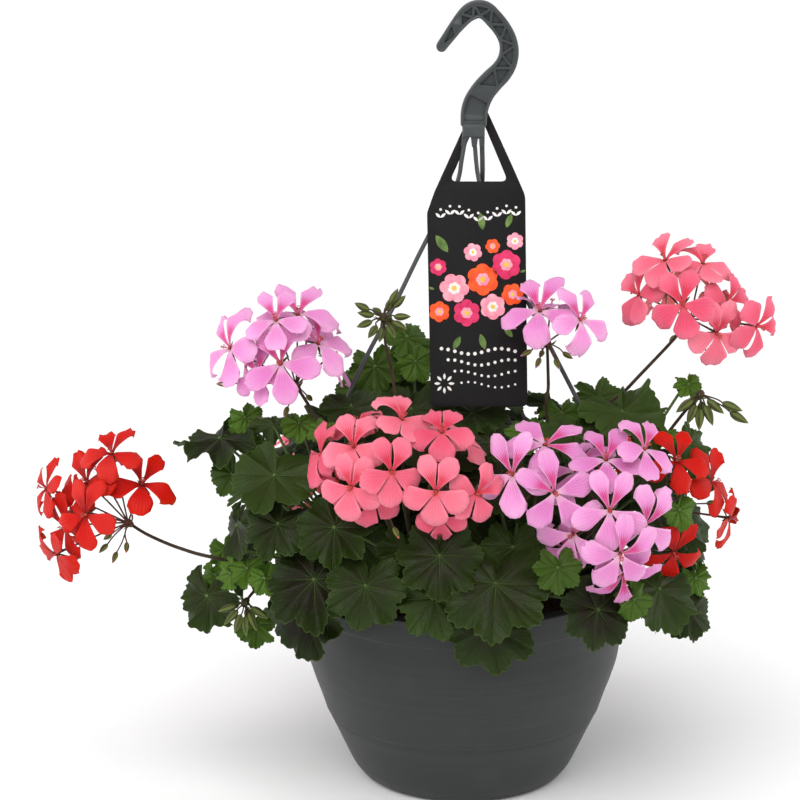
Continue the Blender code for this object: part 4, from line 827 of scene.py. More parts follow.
# The flower heads: florets of five petals round a knob, each on its own thin brown-red stalk behind a
# calyx of narrow sepals. The upper two petals are narrower and carry the dark feathered marks.

# Each head's colour, its knob, the bends of its stalk and its buds beside the knob
HEADS = {
    "head_lilac_middle": ("lilac", (55, -132, 284), [], [(-14, -6, -14)]),
    "head_lilac_upper_left": ("lilac", (-136, -70, 352), [(-121, -78, 329), (-109, -85, 305)],
                              [(-46, -12, 4), (-6, -12, -14), (8, 14, -12)]),
    "head_lilac_small": ("lilac", (65, -60, 385), [(66.5, -58, 350), (67, -58, 316)],
                         [(-13, -4, -6), (-6, -9, -11), (6, -8, -12), (13, 2, -9), (-3, 10, -10)]),
    "head_lilac_right": ("lilac", (107, -136, 263), [], [(20, 14, -12)]),
    "head_salmon_left": ("salmon", (-76, -136, 295), [], [(16, -20, -30)]),
    "head_salmon_middle": ("salmon", (-19, -138, 286), [], []),
    "head_salmon_upper_right": ("salmon", (183, -20, 395),
                                [(168, -22, 376), (133, -28, 339), (102, -36, 305)],
                                [(12, -6, -24), (-10, 10, -16)]),
    "head_red_left": ("red", (-274, -60, 234), [(-257, -60, 223), (-230, -62, 212), (-195, -66, 204)],
                      [(-15, -10, -14), (-8, -10, -20), (0, -14, -12), (-14, 8, -12)]),
    "head_red_right": ("red", (152, -84, 252), [], [(36, -4, 6)]),
    "head_red_back": ("red", (118, 118, 224), [], []),
    "head_lilac_back": ("lilac", (22, 168, 216), [], []),
    "head_salmon_back": ("salmon", (-118, 120, 222), [], []),
}
BUD_SPREAD = 1.25
BUD_SIZE = (10, 4.4)
PETALS = 5
STAMENS = 6
PETAL_SHEET = 0.45
PETAL_ROWS = 11
PETAL_COLUMNS = 9
# How long the petals are beside the solid's, and how wide the upper pair and the lower three
PETAL_HABIT = {"lilac": (1.10, 0.92, 1.02), "salmon": (1.03, 1.08, 1.2), "red": (1.06, 0.95, 1.02)}


def peduncle(hub, route):
    """The stem that carries a head and the line of its stalk, the same as in the solid."""
    last = route[-1] if route else np.array((hub[0] * 0.8, hub[1] * 0.8, hub[2] - 40))
    stem = nearest_stem(last)
    root = root_on_stem(stem, (last if route else hub)[2] - 40)
    bends = route[::-1] or [root + (hub - root) * 0.45 - (0, 0, 6), hub + (root - hub) * 0.2 - (0, 0, 7)]
    return stem, through([root, *bends, hub], 30)


def petal_faces():
    """Faces of one petal: an upper and a lower skin of rows and columns, and the rim between them."""
    total = PETAL_ROWS * PETAL_COLUMNS
    grid = np.arange(total).reshape(PETAL_ROWS, PETAL_COLUMNS)
    a = grid[:-1, :-1].ravel()
    upper = np.stack([a, a + 1, a + 1 + PETAL_COLUMNS, a + PETAL_COLUMNS], 1)
    edge = np.concatenate([grid[0], grid[1:, -1], grid[-1, -2::-1], grid[-2:0:-1, 0]])
    after = np.roll(edge, -1)
    return [upper, np.stack([after, edge, edge + total, after + total], 1), upper[:, ::-1] + total]


PETAL_FACES = petal_faces()


def put_petal(heap, throat, along, across, length, half, lift, is_upper, tone, draw):
    """One petal: a narrow claw, a broad blade cupped across and rolled at its tip, and a wavy edge."""
    up = np.cross(across, along)
    row = np.linspace(0, 1, PETAL_ROWS)[:, None] ** 0.85
    column = np.linspace(-1, 1, PETAL_COLUMNS)[None, :]
    rise = np.clip(row / 0.8, 0, 1)
    wedge = 1.75 if is_upper else 1.4
    profile = 0.11 + 0.89 * rise ** wedge * (1.75 - 0.75 * rise ** 2)
    arc = math.radians(draw.uniform(78, 88))
    nibble = draw.choice((0.0, 0.012, 0.022))
    notch = draw.choice((0.0, 0.0, 0.03, 0.05))
    back = 0.33 * (1 - np.cos(arc * column)) / (1 - math.cos(arc)) + notch * np.exp(-(column / 0.2) ** 2)
    back = back + nibble * np.sin(draw.choice((7, 9, 11)) * column + draw.uniform(0, 6.3))
    spread = column * (1 - row ** 3) + np.sin(arc * column) / math.sin(arc) * row ** 3
    x = half * profile * spread * draw.uniform(0.94, 1.04)
    y = length * 1.03 * row * (1 - back * row ** 3)
    cup = draw.uniform(0.05, 0.32) if is_upper else draw.uniform(-0.15, 0.22)
    bow = draw.uniform(-0.06, 0.12)
    z = lift * (row ** 2 - row)
    z = z - 0.09 * length * np.clip(1 - row / 0.24, 0, 1) ** 2
    z = z + cup * half * (column ** 2 - 0.3) * row + bow * length * np.sin(np.pi * row)
    z = z - draw.uniform(0, 0.22) * length * np.clip((row - 0.5) / 0.5, 0, 1) ** 2
    waves, phase = draw.choice((3, 4, 5)), draw.uniform(0, 6.3)
    edge = np.maximum(row ** 5, np.abs(column) ** 4 * row ** 2)
    ripple = np.sin(waves * np.arctan2(column, 1.4 - row) * 2 + phase)
    z = z + draw.uniform(0.02, 0.05) * length * edge * ripple
    crease = 0.012 * length * np.exp(-(column / 0.15) ** 2) * row * (1 - 0.5 * row)
    z = z - crease + draw.uniform(-0.10, 0.10) * length * column * row ** 2
    base = throat + x[..., None] * across + y[..., None] * along
    sheet = PETAL_SHEET / 2 * (1 - 0.5 * np.maximum(row, np.abs(column)) ** 4)
    points = np.stack([base + (z + off)[..., None] * up for off in (sheet, -sheet)]).reshape(-1, 3)
    spot = np.stack([np.broadcast_to(column, z.shape), np.broadcast_to(row, z.shape)], 2).reshape(-1, 2)
    heap.put(points, PETAL_FACES, (0, 0, 1), np.vstack([spot, spot]), (float(is_upper), tone))


def put_floret(petals, greens, middle, edge, line, hub, habit, draw):
    """The five petals of one fan of the solid, with calyx, stalk, stamens and style."""
    lengthen, upper_width, lower_width = habit
    gaps = np.linalg.norm(edge - middle, axis=1)
    edge = np.roll(edge, -int(np.argmin([gaps[k::PETALS].sum() for k in range(PETALS)])), axis=0)
    ends = [(edge[5 * j + 2] + edge[5 * j + 3]) / 2 - middle for j in range(PETALS)]
    ways = [unit(end) for end in ends]
    last = max(range(PETALS), key=lambda j: ways[j].dot(ways[(j + 1) % PETALS]))
    order = [(last + 1 + j) % PETALS for j in range(PETALS)]
    facing = unit(sum(np.cross(ways[(j + 1) % PETALS], ways[j]) for j in range(PETALS)))
    size = np.mean([np.linalg.norm(end) for end in ends])
    tone = draw.random()
    for number, j in enumerate(order):
        is_upper = number in (0, PETALS - 1)
        side = edge[5 * j + 4] - edge[5 * j + 1]
        across = unit(side - ways[j] * side.dot(ways[j]))
        lift = (edge[5 * j + 2] - middle).dot(facing) * 0.8
        half = np.linalg.norm(side) / 2 * (upper_width if is_upper else lower_width)
        reach = np.linalg.norm(ends[j]) / 0.98 * lengthen
        own_tone = min(1, max(0, tone + draw.uniform(-0.2, 0.2)))
        put_petal(petals, middle - facing * 0.6, ways[j], across, reach, half, lift, is_upper, own_tone,
                  draw)
    up = unit(ways[order[0]] + ways[order[-1]])
    right = np.cross(up, facing)
    throat = middle - facing * 1.6
    for k in range(PETALS):
        turn = TURN * (k + 0.5) / PETALS + 0.2
        out = math.cos(turn) * up + math.sin(turn) * right
        way = unit(out * 0.85 - facing * draw.uniform(0.0, 0.35))
        put_bract(greens, throat - facing * 2.4 + out * 1.0, way, -facing, size * 0.30, 2.2, 1)
    for k in range(STAMENS):
        turn = TURN * k / STAMENS + draw.uniform(-0.2, 0.2)
        out = 0.75 * (math.cos(turn) * up + math.sin(turn) * right) - 0.35 * up
        reach = draw.uniform(4.0, 6.0)
        tip = middle + facing * reach + out * 1.9 + up * 0.6
        path = through([middle - facing, middle + facing * reach * 0.5 + out * 0.5, tip], 4)
        put_tube(petals, path, np.array([0.28, 0.25, 0.22, 0.2]), 3, 2)
        anther = [tip + right * offset for offset in (-0.9, -0.4, 0.4, 0.9)]
        put_tube(petals, anther, np.array([0.2, 0.5, 0.5, 0.2]), 4, 3)
    eye = [middle - facing * depth for depth in (1.8, 0.9, 0.3)]
    put_tube(petals, eye, np.array([0.9, 1.3, 1.0]), 8, 3)
    calyx_end = throat - facing * 3.4
    run = [throat - facing * 0.6, calyx_end] + [p for p in line[1:] if np.linalg.norm(p - calyx_end) > 4]
    if np.linalg.norm(run[-1] - hub) > 3:
        run.append(hub)
    radii = np.interp(np.arange(14), [0, 1, 3, 6, 13], [1.9, 1.7, 1.05, 0.72, 0.68])
    put_tube(greens, through(run, 14), radii, 8, 0)


def petal_skin(name, body, edge, base, blotch, vein, marks):
    """Petal skin: soft and silky with a satin sheen, lengthways folds and feathered marks by the claw."""
    skin, add, place = new_finish(name, IOR=1.36, Specular_IOR_Level=0.3, Sheen_Weight=0.03,
                                  Sheen_Roughness=0.35, Subsurface_Weight=0.12, Subsurface_Scale=0.004,
                                  Subsurface_Radius=(1.0, 0.6, 0.6))
    column, row = add("SeparateXYZ", [add("UVMap", uv_map="PetalPlane")], out=("X", "Y"))
    is_upper, tone = add("SeparateXYZ", [add("UVMap", uv_map="PetalShare")], out=("X", "Y"))
    patch = add("TexNoise", {"Vector": place, "Scale": 130.0, "Detail": 3.0})
    wide = add("ABSOLUTE", [column])
    rim = add("MapRange", [add("MAXIMUM", [row, wide]), 0.6, 1.0, 0.0, 1.0])
    colour = add("MixRGB", [rim, linear(body), linear(edge)])
    colour = add("HueSaturation", {"Saturation": add("MapRange", [tone, 0.0, 1.0, 1.1, 0.98]),
                                   "Value": add("MapRange", [tone, 0.0, 1.0, 0.90, 1.05]), "Color": colour})
    to_base = add("MapRange", [row, 0.3, 0.06, 0.0, 1.0])
    wobble = add("MULTIPLY_ADD", [patch, 0.25, column])
    lines = add("ABSOLUTE", [add("SINE", [add("MULTIPLY", [wobble, 3.5 * math.pi])])])
    feather = add("MapRange", [lines, 0.25, 0.6, 1.0, 0.0])
    reach = add("MapRange", [row, 0.64, 0.42, 0.0, 1.0], interpolation_type="SMOOTHSTEP")
    for limit in (reach, add("MapRange", [is_upper, 0.0, 1.0, 0.25, 1.0]), 0.95 * marks):
        feather = add("MULTIPLY", [feather, limit])
    blot = add("MapRange", [row, 0.54, 0.34, 0.0, 1.0], interpolation_type="SMOOTHSTEP")
    for limit in (add("MapRange", [wide, 0.95, 0.4, 0.0, 1.0]), is_upper, 0.8 * marks):
        blot = add("MULTIPLY", [blot, limit])
    for amount, hue in ((to_base, base), (blot, blotch), (feather, vein)):
        colour = add("MixRGB", [amount, colour, linear(hue)])
    folds = add("SINE", [add("MULTIPLY", [wobble, 9 * math.pi])])
    folds = add("MULTIPLY_ADD", [patch, 2.5, folds])
    return surface(skin, colour, patch, (0.45, 0.6), folds, 0.3, 0.4)


petal_finishes = {
    "lilac": [petal_skin("petal_face_lilac", "#e48ec8", "#eda9d6", "#efbfd8", "#dc3a84", "#a8124a", 1.0),
              petal_skin("petal_back_lilac", "#e290c6", "#eaa5d2", "#e2a2c2", "#d678ae", "#c25896", 0.5)],
    "salmon": [petal_skin("petal_face_salmon", "#ec6d83", "#f18296", "#ea6474", "#de2f44", "#b41832", 0.9),
               petal_skin("petal_back_salmon", "#e86c72", "#ec7e82", "#e66c60", "#de6054", "#d05056", 0.4)],
    "red": [petal_skin("petal_face_scarlet", "#c40e05", "#cc190b", "#9c0a04", "#880705", "#6c0407", 0.6),
            petal_skin("petal_back_scarlet", "#b81808", "#c2240f", "#a2160d", "#9a120b", "#840f09", 0.3)],
}


def filament_skin(name, dark, light):
    """Stamen threads and their pollen heads: soft and slightly grainy."""
    skin, add, place = new_finish(name, IOR=1.4)
    grain = add("TexNoise", {"Vector": place, "Scale": 2500.0, "Detail": 2.0})
    colour = add("ValToRGB", [grain], stops=[(0.35, dark), (0.65, light)])
    return surface(skin, colour, grain, (0.5, 0.8), grain, 0.4, 0.2)


stamen_finish = filament_skin("stamen_threads_pink", "#c2517c", "#e38bab")
pollen_finish = filament_skin("pollen_heads_orange", "#9c2a1c", "#c85030")
pedicel_finish = green_stem("floret_stalk_brown_red", "#5f3a30", "#4d2d2a", "#6b4a36")
head_bud_finishes = {colour: bud_skin("bud_sepals_" + colour + "_tip", "#6f7f3d", "#5b3a2c", tip)
                     for colour, tip in BUD_TIP_COLOURS.items()}

for name, (colour, hub, route, buds) in HEADS.items():
    draw = random.Random(name)
    petals, greens = Heap(), Heap()
    hub = np.array(hub, float)
    stem, path = peduncle(hub, [np.array(p, float) for p in route])
    put_tube(leafy_stems[stem][0], path, np.linspace(1.6, 1.25, 30), 10, 2)
    put_knob(greens, hub, unit(hub - path[-4]), 0, 1, draw)
    for offset in buds:
        put_bud(greens, hub, hub + BUD_SPREAD * np.array(offset), *BUD_SIZE, (0, 2), draw)
    for middle, edge, line in blades_of(name, FLORET_POINTS):
        put_floret(petals, greens, middle, edge, line, hub, PETAL_HABIT[colour], draw)
    dress(petals.mesh(name + "_petals", "PetalPlane", "PetalShare"),
          petal_finishes[colour] + [stamen_finish, pollen_finish], "petal_" + colour, name)
    dress(greens.mesh(name + "_stalks", "AlongRound"),
          [pedicel_finish, calyx_finish, head_bud_finishes[colour]], "petal_" + colour, name)

for k, (shoots, blades) in enumerate(leafy_stems):
    name = f"leafy_stem_{k}"
    dress(shoots.mesh(name + "_shoots", "AlongRound"),
          [stem_finish, stalk_finish, flower_stalk_finish, bud_finish], "geranium_green", name)
    if blades.count:
        dress(blades.mesh(name + "_leaves", "LeafPlane", "LeafShare"), [leaf_top, leaf_back],
              "geranium_green", name)


# The hanger: one moulding of a flat hook with zig-zag ribs, a collar and three thin arms, whose clips
# snap under the pot's lip. Injection moulded grey-green polypropylene.

HOOK_THICKNESS = 8.0
WEB_THICKNESS = 1.8
FORK_THICKNESS = 6.6
RIM_BEAD = 1.2
BEAD_SIDES = 10
COLLAR = dict(centre=(6.5, 0, 546), size=(18, 9.2, 10))
CLIP_SIZE = (2.6, 8, 5)
ARM_WIDTH = 4.0
ARM_THICKNESS = 2.6
ARM_SIDES = 16
# Down the hook's middle from its tip to the collar: x, z and the width
HOOK_LINE = [(-19.6, 614.1, 8.4), (-13.5, 622.5, 9.6), (-7.0, 631.3, 11.2), (-0.5, 638.8, 13.0),
             (4.5, 642.4, 14.0), (10.0, 643.9, 14.0), (16.0, 642.2, 14.4), (22.4, 636.0, 14.5),
             (28.6, 628.4, 14.2), (33.0, 620.0, 14.5), (34.6, 611.4, 15.2), (33.2, 602.3, 16.2),
             (28.6, 594.0, 17.4), (20.8, 586.0, 18.4), (13.8, 577.6, 19.4), (8.8, 568.2, 21.0),
             (6.8, 559.6, 21.4), (6.5, 550.4, 21.0)]
# The fork below the collar, as x, z and the radius of each corner
FORK = [(15.6, 552, 0.4), (-2.6, 552, 0.4), (-2.6, 542, 2), (-3.5, 533, 0.4), (0.5, 533, 0.4),
        (2.2, 540, 1.6), (4.2, 541.5, 0.7), (5.2, 533, 0.4), (9.2, 533, 0.4),
        (9.9, 539.5, 0.35), (10.9, 539.5, 0.35), (11.4, 533, 0.4), (15.4, 533, 0.4)]
ARM_ROUTES = {
    "front_left": [(0.8, -1, 546), (-2.8, -2.9, 524), (-6.8, -2.2, 503), (-20, -8.6, 480),
                   (-38, -20.4, 447), (-58, -33, 408), (-79, -45, 371), (-98, -56, 330), (-109, -63, 290),
                   (-115, -66.5, 250), (-115.5, -66.6, 212), (-112.6, -65, 184)],
    "front_right": [(6.5, 0, 546), (10.5, -2, 508), (18.5, -6.6, 484), (27, -13, 462), (49, -28, 414),
                    (66, -38, 381), (89, -52, 338), (99, -57.5, 319), (110, -63.5, 285),
                    (115, -66.5, 250), (115.5, -66.6, 212), (112.6, -65, 184)],
    "back": [(13, 0, 546), (14, 7, 505), (11, 25, 462), (8, 46, 421), (4, 68, 382), (2, 91, 345),
             (0, 112, 305), (0, 126, 265), (0, 132, 230), (0, 132, 200), (0, 129.5, 184)],
}


def hook_stations(count):
    """Even stations on the hook's middle line: the point, the side direction and half the width."""
    line = through(HOOK_LINE, count)
    ahead = headings(line[:, :2])
    return line[:, :2], np.stack([-ahead[:, 1], ahead[:, 0]], 1), line[:, 2:] / 2


def hook_outline(inset):
    middle, side, half = hook_stations(90)
    half = half - inset
    nose_way = np.array((side[0][1], -side[0][0]))
    turn = np.radians(np.linspace(15, 165, 11))[:, None]
    nose = middle[0] - nose_way * half[0] * np.sin(turn) + side[0] * half[0] * np.cos(turn)
    return np.vstack([(middle + side * half)[::-1], nose, middle - side * half])


def rounded(corners, steps):
    """An outline whose corners (x, z, radius) are rounded."""
    outline = []
    for i, (x, z, radius) in enumerate(corners):
        here = np.array((x, z), float)
        before = unit(np.array(corners[i - 1][:2]) - here)
        after = unit(np.array(corners[(i + 1) % len(corners)][:2]) - here)
        reach = radius / math.tan(math.acos(np.clip(before.dot(after), -1, 1)) / 2)
        outline += [(1 - t) ** 2 * (here + before * reach) + 2 * t * (1 - t) * here
                    + t * t * (here + after * reach) for t in np.linspace(0, 1, steps + 1)]
    return np.array(outline)


def pockets():
    """A long pocket by the tip, triangular ones between zig-zag ribs, and an open recess in the neck."""
    middle, side, half = hook_stations(121)

    def spot(station, across, rim):
        return middle[station] + side[station] * (half[station] - rim) * across

    knots = [spot(14 + 6 * k, 1 if k % 2 else -1, 2.3) for k in range(15)]
    outlines = [[spot(2, 0.0, 2.0), spot(12, 1, 2.2), spot(9, -1, 2.2)]]
    for a, b, c in zip(knots, knots[1:], knots[2:]):
        lengths = [np.linalg.norm(b - c), np.linalg.norm(c - a), np.linalg.norm(a - b)]
        heart = (a * lengths[0] + b * lengths[1] + c * lengths[2]) / sum(lengths)
        area = abs((b - a)[0] * (c - a)[1] - (b - a)[1] * (c - a)[0]) / 2
        # Each side moves inwards by half the width of a rib
        outlines.append([heart + (p - heart) * (1 - 1.05 * sum(lengths) / (2 * area)) for p in (a, b, c)])
    recess = (103, 107, 112, 117)
    outlines.append([spot(k, 1, 2.6) for k in recess] + [spot(k, -1, 2.6) for k in recess[::-1]])
    return [rounded([(*corner, 0.5) for corner in corners], 3) for corners in outlines]


def plate(name, outlines, thickness, edge_round):
    """A flat plate in the X-Z plane with rounded edges; the first outline is its edge, the rest openings."""
    curve = bpy.data.curves.new(name, "CURVE")
    curve.dimensions = "2D"
    curve.fill_mode = "BOTH"
    curve.extrude = MM * (thickness / 2 - edge_round)
    curve.bevel_depth = MM * edge_round
    curve.bevel_resolution = 2 if edge_round > 0.1 else 0
    curve.offset = -MM * edge_round
    for outline in outlines:
        spline = curve.splines.new("POLY")
        spline.points.add(len(outline) - 1)
        spline.use_cyclic_u = True
        for point, (x, z) in zip(spline.points, outline):
            point.co = (MM * x, MM * z, 0, 1)
    flat = stand(name, curve)
    bpy.context.view_layer.update()
    mesh = bpy.data.meshes.new_from_object(flat.evaluated_get(bpy.context.evaluated_depsgraph_get()))
    mesh.transform(Matrix.Rotation(math.radians(90), 4, "X"))
    bpy.data.objects.remove(flat)
    bpy.data.curves.remove(curve)
    thing = stand(name, mesh)
    thing.modifiers.new("weld", "WELD").merge_threshold = 0.00001
    return settle(thing, 40)


def rounded_block(name, centre, size, turn, edge_round):
    thing = block(name, centre, size, turn)
    bevel = thing.modifiers.new("round", "BEVEL")
    bevel.width = MM * edge_round
    bevel.segments = 3
    return settle(thing)


def rim_bead(name, outline, radius, depth):
    """The rounded rim that stands along the edge of the hook on one face."""
    ahead = np.roll(outline, -1, axis=0) - np.roll(outline, 1, axis=0)
    ahead /= np.linalg.norm(ahead, axis=1)[:, None]
    turns = TURN * np.arange(BEAD_SIDES) / BEAD_SIDES
    points = [(x + radius * math.cos(a) * w, depth + radius * math.sin(a), z - radius * math.cos(a) * u)
              for (x, z), (u, w) in zip(outline, ahead) for a in turns]
    heap = Heap()
    heap.put(points, [ring_faces(len(outline) + 1, BEAD_SIDES) % len(points)])
    return settle(heap.mesh(name), 60)


def arm(name, route, azimuth):
    """A strap with a rounded section that keeps its flat side to the pot's axis."""
    turn = math.radians(azimuth)
    radial = np.array((math.cos(turn), math.sin(turn), 0))
    across = np.array((-radial[1], radial[0], 0))
    end = CLIP_CIRCLE * radial
    path = through(route + [end + (0, 0, 176), end + (0, 0, 167.1)], 90)
    angle = np.linspace(0, TURN, ARM_SIDES + 1)[:-1]
    u, v = (np.sign(wave) * np.abs(wave) ** 0.55 * size / 2
            for wave, size in ((np.cos(angle), ARM_WIDTH), (np.sin(angle), ARM_THICKNESS)))
    rings = [point + u[:, None] * across + v[:, None] * unit(radial - way * radial.dot(way))
             for point, way in zip(path, headings(path))]
    last = ARM_SIDES * len(path)
    heap = Heap()
    heap.put(np.vstack([*rings, path[0], path[-1]]), closed_tube(len(path), ARM_SIDES, 0, last, last + 1))
    return heap.mesh(name)


def satin_polypropylene(name, dark, light, rough_range):
    """Satin moulded polypropylene: grey-green, a soft shine, and a painted highlight along its edges."""
    skin, add, place = new_finish(name, IOR=1.49, Specular_IOR_Level=0.4)
    cloud = add("TexNoise", {"Vector": place, "Scale": 90.0, "Detail": 5.0})
    # Fine mould grain of 0.2 mm, drawn 0.8 mm wide
    grain = add("TexNoise", {"Vector": place, "Scale": 1250.0, "Detail": 2.0})
    # Painted highlight: edges that stand out are mixed towards a paler grey
    paler_share = add("MapRange", [add("NewGeometry", out="Pointiness"), 0.52, 0.62, 0.0, 0.5])
    colour = add("ValToRGB", [cloud], stops=[(0.3, dark), (0.7, light)])
    colour = add("MixRGB", [paler_share, colour, linear("#666c6c")])
    return surface(skin, colour, cloud, rough_range, grain, 0.25, 0.2)


hanger_finish = satin_polypropylene("satin_polypropylene_grey_green", "#313536", "#3b3f40", (0.32, 0.46))
# The floors of the pockets are matt, and their darker grey is painted shade in the recesses between the ribs
pocket_shade_finish = satin_polypropylene("matt_polypropylene_pocket_floor_painted_shade", "#1d2021", "#242829", (0.6, 0.75))
hanger_pieces = [plate("hook_rim_and_ribs", [hook_outline(0), *pockets()], HOOK_THICKNESS - 0.9, 0.5),
                 plate("hook_web", [hook_outline(1.4)], WEB_THICKNESS, 0.1),
                 plate("collar_fork", [rounded(FORK, 4)], FORK_THICKNESS, 0.8),
                 rounded_block("collar", COLLAR["centre"], COLLAR["size"], 0, 1.2)]
for face, way in (("front", -1), ("back", 1)):
    hanger_pieces.append(rim_bead("hook_rim_bead_" + face, hook_outline(RIM_BEAD), RIM_BEAD,
                                  way * (HOOK_THICKNESS / 2 - RIM_BEAD)))
for side, azimuth in ARM_AZIMUTHS.items():
    hanger_pieces.append(arm("arm_" + side, ARM_ROUTES[side], azimuth))
    hanger_pieces.append(rounded_block("clip_" + side, clip_place(azimuth, 166.6), CLIP_SIZE,
                                       math.radians(azimuth), 0.5))
for piece in hanger_pieces:
    dress(piece, [pocket_shade_finish if piece.name == "hook_web" else hanger_finish], "hanger_plastic", "hanger")


# The hang tag: a thin black printed plastic card with a long eye, hung round the neck of the hanger.
# Its print is a plain garden pattern of round blossoms, sprigs and dots, a little raised.

TAG_THICKNESS = 0.8
TAG_HANG = (0, 7.7, 549.0)
TAG_HANG_LENGTH = 231.0
TAG_LEAN = 16.7
TAG_EDGE = [(50.0, 3.4, 5), (-28.0, 3.4, 5), (-31.0, 160, 12), (-25.0, 177, 20), (7.6, 249, 3),
            (14.8, 249, 3), (39.0, 195.6, 40), (48.4, 174, 20)]
TAG_EYE = [(-12.6, 185.4, 3.8), (34.4, 185.4, 4), (13.4, 236, 1.2), (10.2, 236, 1.2)]
PRINT_HEIGHT = 0.12


def lean_card(thing, off=0.0):
    """Stands a flat piece in the card's plane, off mm in front of it, and leans it with the card."""
    place = Matrix.Translation(MM * Vector(TAG_HANG)) @ Matrix.Rotation(-math.radians(TAG_LEAN), 4, "X")
    thing.data.transform(place @ Matrix.Translation((0, -MM * off, -MM * TAG_HANG_LENGTH)))
    return thing


def printed_card(name, dark, light, rough_range=(0.35, 0.5), spot=0.8):
    """Coated card or ink: smooth, a soft shine, with a faint mottle and the coarse dots of the print."""
    skin, add, place = new_finish(name, IOR=1.5, Specular_IOR_Level=0.2)
    cloud = add("TexNoise", {"Vector": place, "Scale": 1000 / (8 * spot), "Detail": 4.0})
    dots = add("TexNoise", {"Vector": place, "Scale": 1000 / spot, "Detail": 1.0})
    colour = add("ValToRGB", [cloud], stops=[(0.32, dark), (0.68, light)])
    return surface(skin, colour, dots, rough_range, dots, 0.12, 0.1)


card_finish = printed_card("coated_card_black", "#080606", "#0d0a0a", (0.5, 0.6), 1.2)
inks = {"orange": printed_card("print_ink_orange", "#e8441c", "#f5662c"),
        "magenta": printed_card("print_ink_magenta", "#c81f55", "#e13a6d"),
        "pink": printed_card("print_ink_pink", "#f0809a", "#fbb3be"),
        "green": printed_card("print_ink_green", "#46612c", "#6f8c45"),
        "white": printed_card("print_ink_white", "#dedbd6", "#f4f2ee", (0.4, 0.55)),
        "yellow": printed_card("print_ink_yellow", "#e0a92a", "#f3cf5a")}


def rosette(x, z, size, petal_count, turn, depth=0.22):
    """The outline of a round blossom with scalloped petals."""
    angle = np.linspace(0, TURN, 8 * petal_count + 1)[:-1]
    reach = size * (1 - depth + depth * np.abs(np.cos(petal_count * (angle - turn) / 2)) ** 0.6)
    return np.stack([x + reach * np.cos(angle), z + reach * np.sin(angle)], 1)


def leaflet(x, z, length, width, way):
    """The outline of a pointed leaf that starts at (x, z)."""
    share = np.linspace(0, 1, 9)
    half = width / 2 * np.sin(np.pi * share) ** 0.8
    ahead, side = np.array((math.cos(way), math.sin(way))), np.array((-math.sin(way), math.cos(way)))
    spine = np.array((x, z)) + np.outer(share * length, ahead)
    return np.vstack([spine + np.outer(half, side), (spine - np.outer(half, side))[-2:0:-1]])


def tag_print():
    """Blossoms in a garland across the middle, sprigs over them, dotted hills below, each by its level."""
    draw = random.Random(11)
    shapes = {ink: [] for ink in inks}
    garland = [("magenta", 33, 118, 12), ("orange", 14, 106, 13), ("pink", -9, 99, 12),
               ("orange", -21, 80, 8.5), ("magenta", 1, 79, 11), ("pink", 22, 84, 10.5),
               ("orange", 38, 94, 9), ("pink", 40, 137, 7),
               ("magenta", -22, 116, 7), ("pink", 6, 128, 7.5), ("orange", 22, 133, 6)]
    for ink, x, z, size in garland:
        turn = draw.uniform(0, 1)
        shapes[ink].append((rosette(x, z, size, 6, turn), 1))
        shapes["white" if ink == "pink" else "pink"].append((rosette(x, z, size * 0.42, 6, turn + 0.5), 2))
        shapes["yellow"].append((rosette(x, z, size * 0.18, 5, turn), 3))
    for x, z, way, length in [(-14, 128, 2.2, 17), (44, 112, 0.3, 5), (-4, 60, 4.2, 12), (12, 62, 5.0, 13),
                              (31, 68, 5.4, 11), (-25, 98, 2.8, 5), (14, 146, 1.7, 14), (33, 148, 1.2, 12)]:
        shapes["green"].append((leaflet(x, z, length, length * 0.42, way), 1))
    white = []
    for k in range(9):
        x, z = -20 + 7.6 * k, 156 + 3 * math.sin(1.1 * k)
        white += [leaflet(x, z, 5.4, 2.2, math.radians(42)), leaflet(x, z, 5.4, 2.2, math.radians(138)),
                  rosette(x, z + 6.6, 1.1, 5, 0)]
    for row in range(4):
        white += [rosette(40 - 5.4 * k, 48 - 9 * row + 2.2 * math.sin(0.7 * k + row),
                          1.5 - 0.18 * row, 6, 0, 0.1) for k in range(12 - row)]
    for k in range(8):
        turn = k * TURN / 8
        white.append(leaflet(-17 + 3.2 * math.cos(turn), 22 + 3.2 * math.sin(turn), 5.0, 2.2, turn))
    shapes["white"] += [(outline, 1) for outline in white]
    return shapes


tag = plate("tag_card", [rounded(TAG_EDGE, 8), rounded(TAG_EYE, 6)], TAG_THICKNESS, 0.12)
dress(lean_card(tag), [card_finish], "tag_card", "hang_tag")
for ink, outlines in tag_print().items():
    shape = bmesh.new()
    for outline, level in sorted(outlines, key=lambda pair: pair[1]):
        motif = plate("motif", [outline], PRINT_HEIGHT * level, 0)
        motif.data.transform(Matrix.Translation((0, -MM * PRINT_HEIGHT * level / 2, 0)))
        shape.from_mesh(motif.data)
        bpy.data.objects.remove(motif)
    mesh = bpy.data.meshes.new("print_" + ink)
    shape.to_mesh(mesh)
    shape.free()
    printed = stand("tag_print_" + ink, mesh)
    dress(lean_card(printed, TAG_THICKNESS / 2 - 0.02), [inks[ink]], "tag_card", "hang_tag")


# The studio: a wide pale floor, soft white light from above and all round, and two soft boxes at the sides,
# which draw the pale bands along the pot's edges.

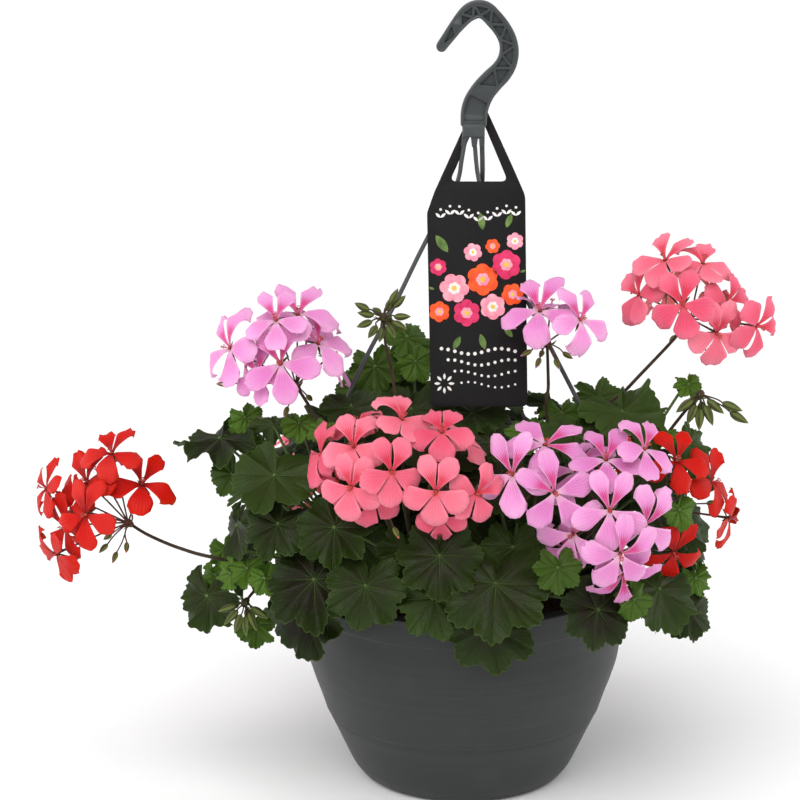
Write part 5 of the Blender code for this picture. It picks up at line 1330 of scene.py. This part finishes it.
SOFT_BOX = dict(height=0.5, aside=1.5, size=(0.5, 1.6), power=7)


def studio_floor():
    """Matte painted board: nearly white, with a faint unevenness."""
    skin, add, place = new_finish("studio_floor_matte_white", IOR=1.4)
    cloud = add("TexNoise", {"Vector": place, "Scale": 3.0, "Detail": 3.0})
    colour = add("ValToRGB", [cloud], stops=[(0.3, "#fdfdfd"), (0.7, "#fefefe")])
    floor = block("studio_floor", (0, 0, -6), (30000, 30000, 10))
    floor.data.materials.append(surface(skin, colour, cloud, (0.85, 0.95)))


def lamp(name, kind, power):
    light = bpy.data.lights.new(name, kind)
    light.energy = power
    thing = stand(name, light)
    return thing


studio_floor()
ceiling = lamp("ceiling_softlight", "SUN", 2.1)
ceiling.data.angle = math.radians(55)
ceiling.rotation_euler = (math.radians(38), math.radians(-12), 0)
for name, way in (("left_soft_box", -1), ("right_soft_box", 1)):
    soft_box = lamp(name, "AREA", SOFT_BOX["power"])
    soft_box.data.shape = "RECTANGLE"
    soft_box.data.size, soft_box.data.size_y = SOFT_BOX["size"]
    soft_box.location = (way * SOFT_BOX["aside"], 0.1, SOFT_BOX["height"])
    soft_box.rotation_euler = (Vector((0, 0, 0.2)) - soft_box.location).to_track_quat("-Z", "Y").to_euler()
world = bpy.data.worlds.new("studio_air")
bpy.context.scene.world = world
world.use_nodes = True
background = world.node_tree.nodes["Background"]
add = partial(add_node, world.node_tree)
height = add("SeparateXYZ", [add("TexCoord", out="Generated")], out="Z")
world.node_tree.links.new(add("MapRange", [height, 0.08, 0.3, 1.0, 0.5]), background.inputs["Strength"])
background.inputs["Color"].default_value = (1, 1, 1, 1)
bpy.context.scene.view_settings.view_transform = "Standard"

# The camera stands 2.4 m in front and 0.96 m above the floor, with a long lens
camera_data = bpy.data.cameras.new("camera")
camera_data.lens = 135.4
camera_data.sensor_width = 36
camera = stand("camera", camera_data)
camera.location = (-0.0528, -2.4, 0.958)
camera.rotation_euler = (math.radians(90 - 14.86), 0, 0)
bpy.context.scene.camera = camera

bpy.context.view_layer.update()
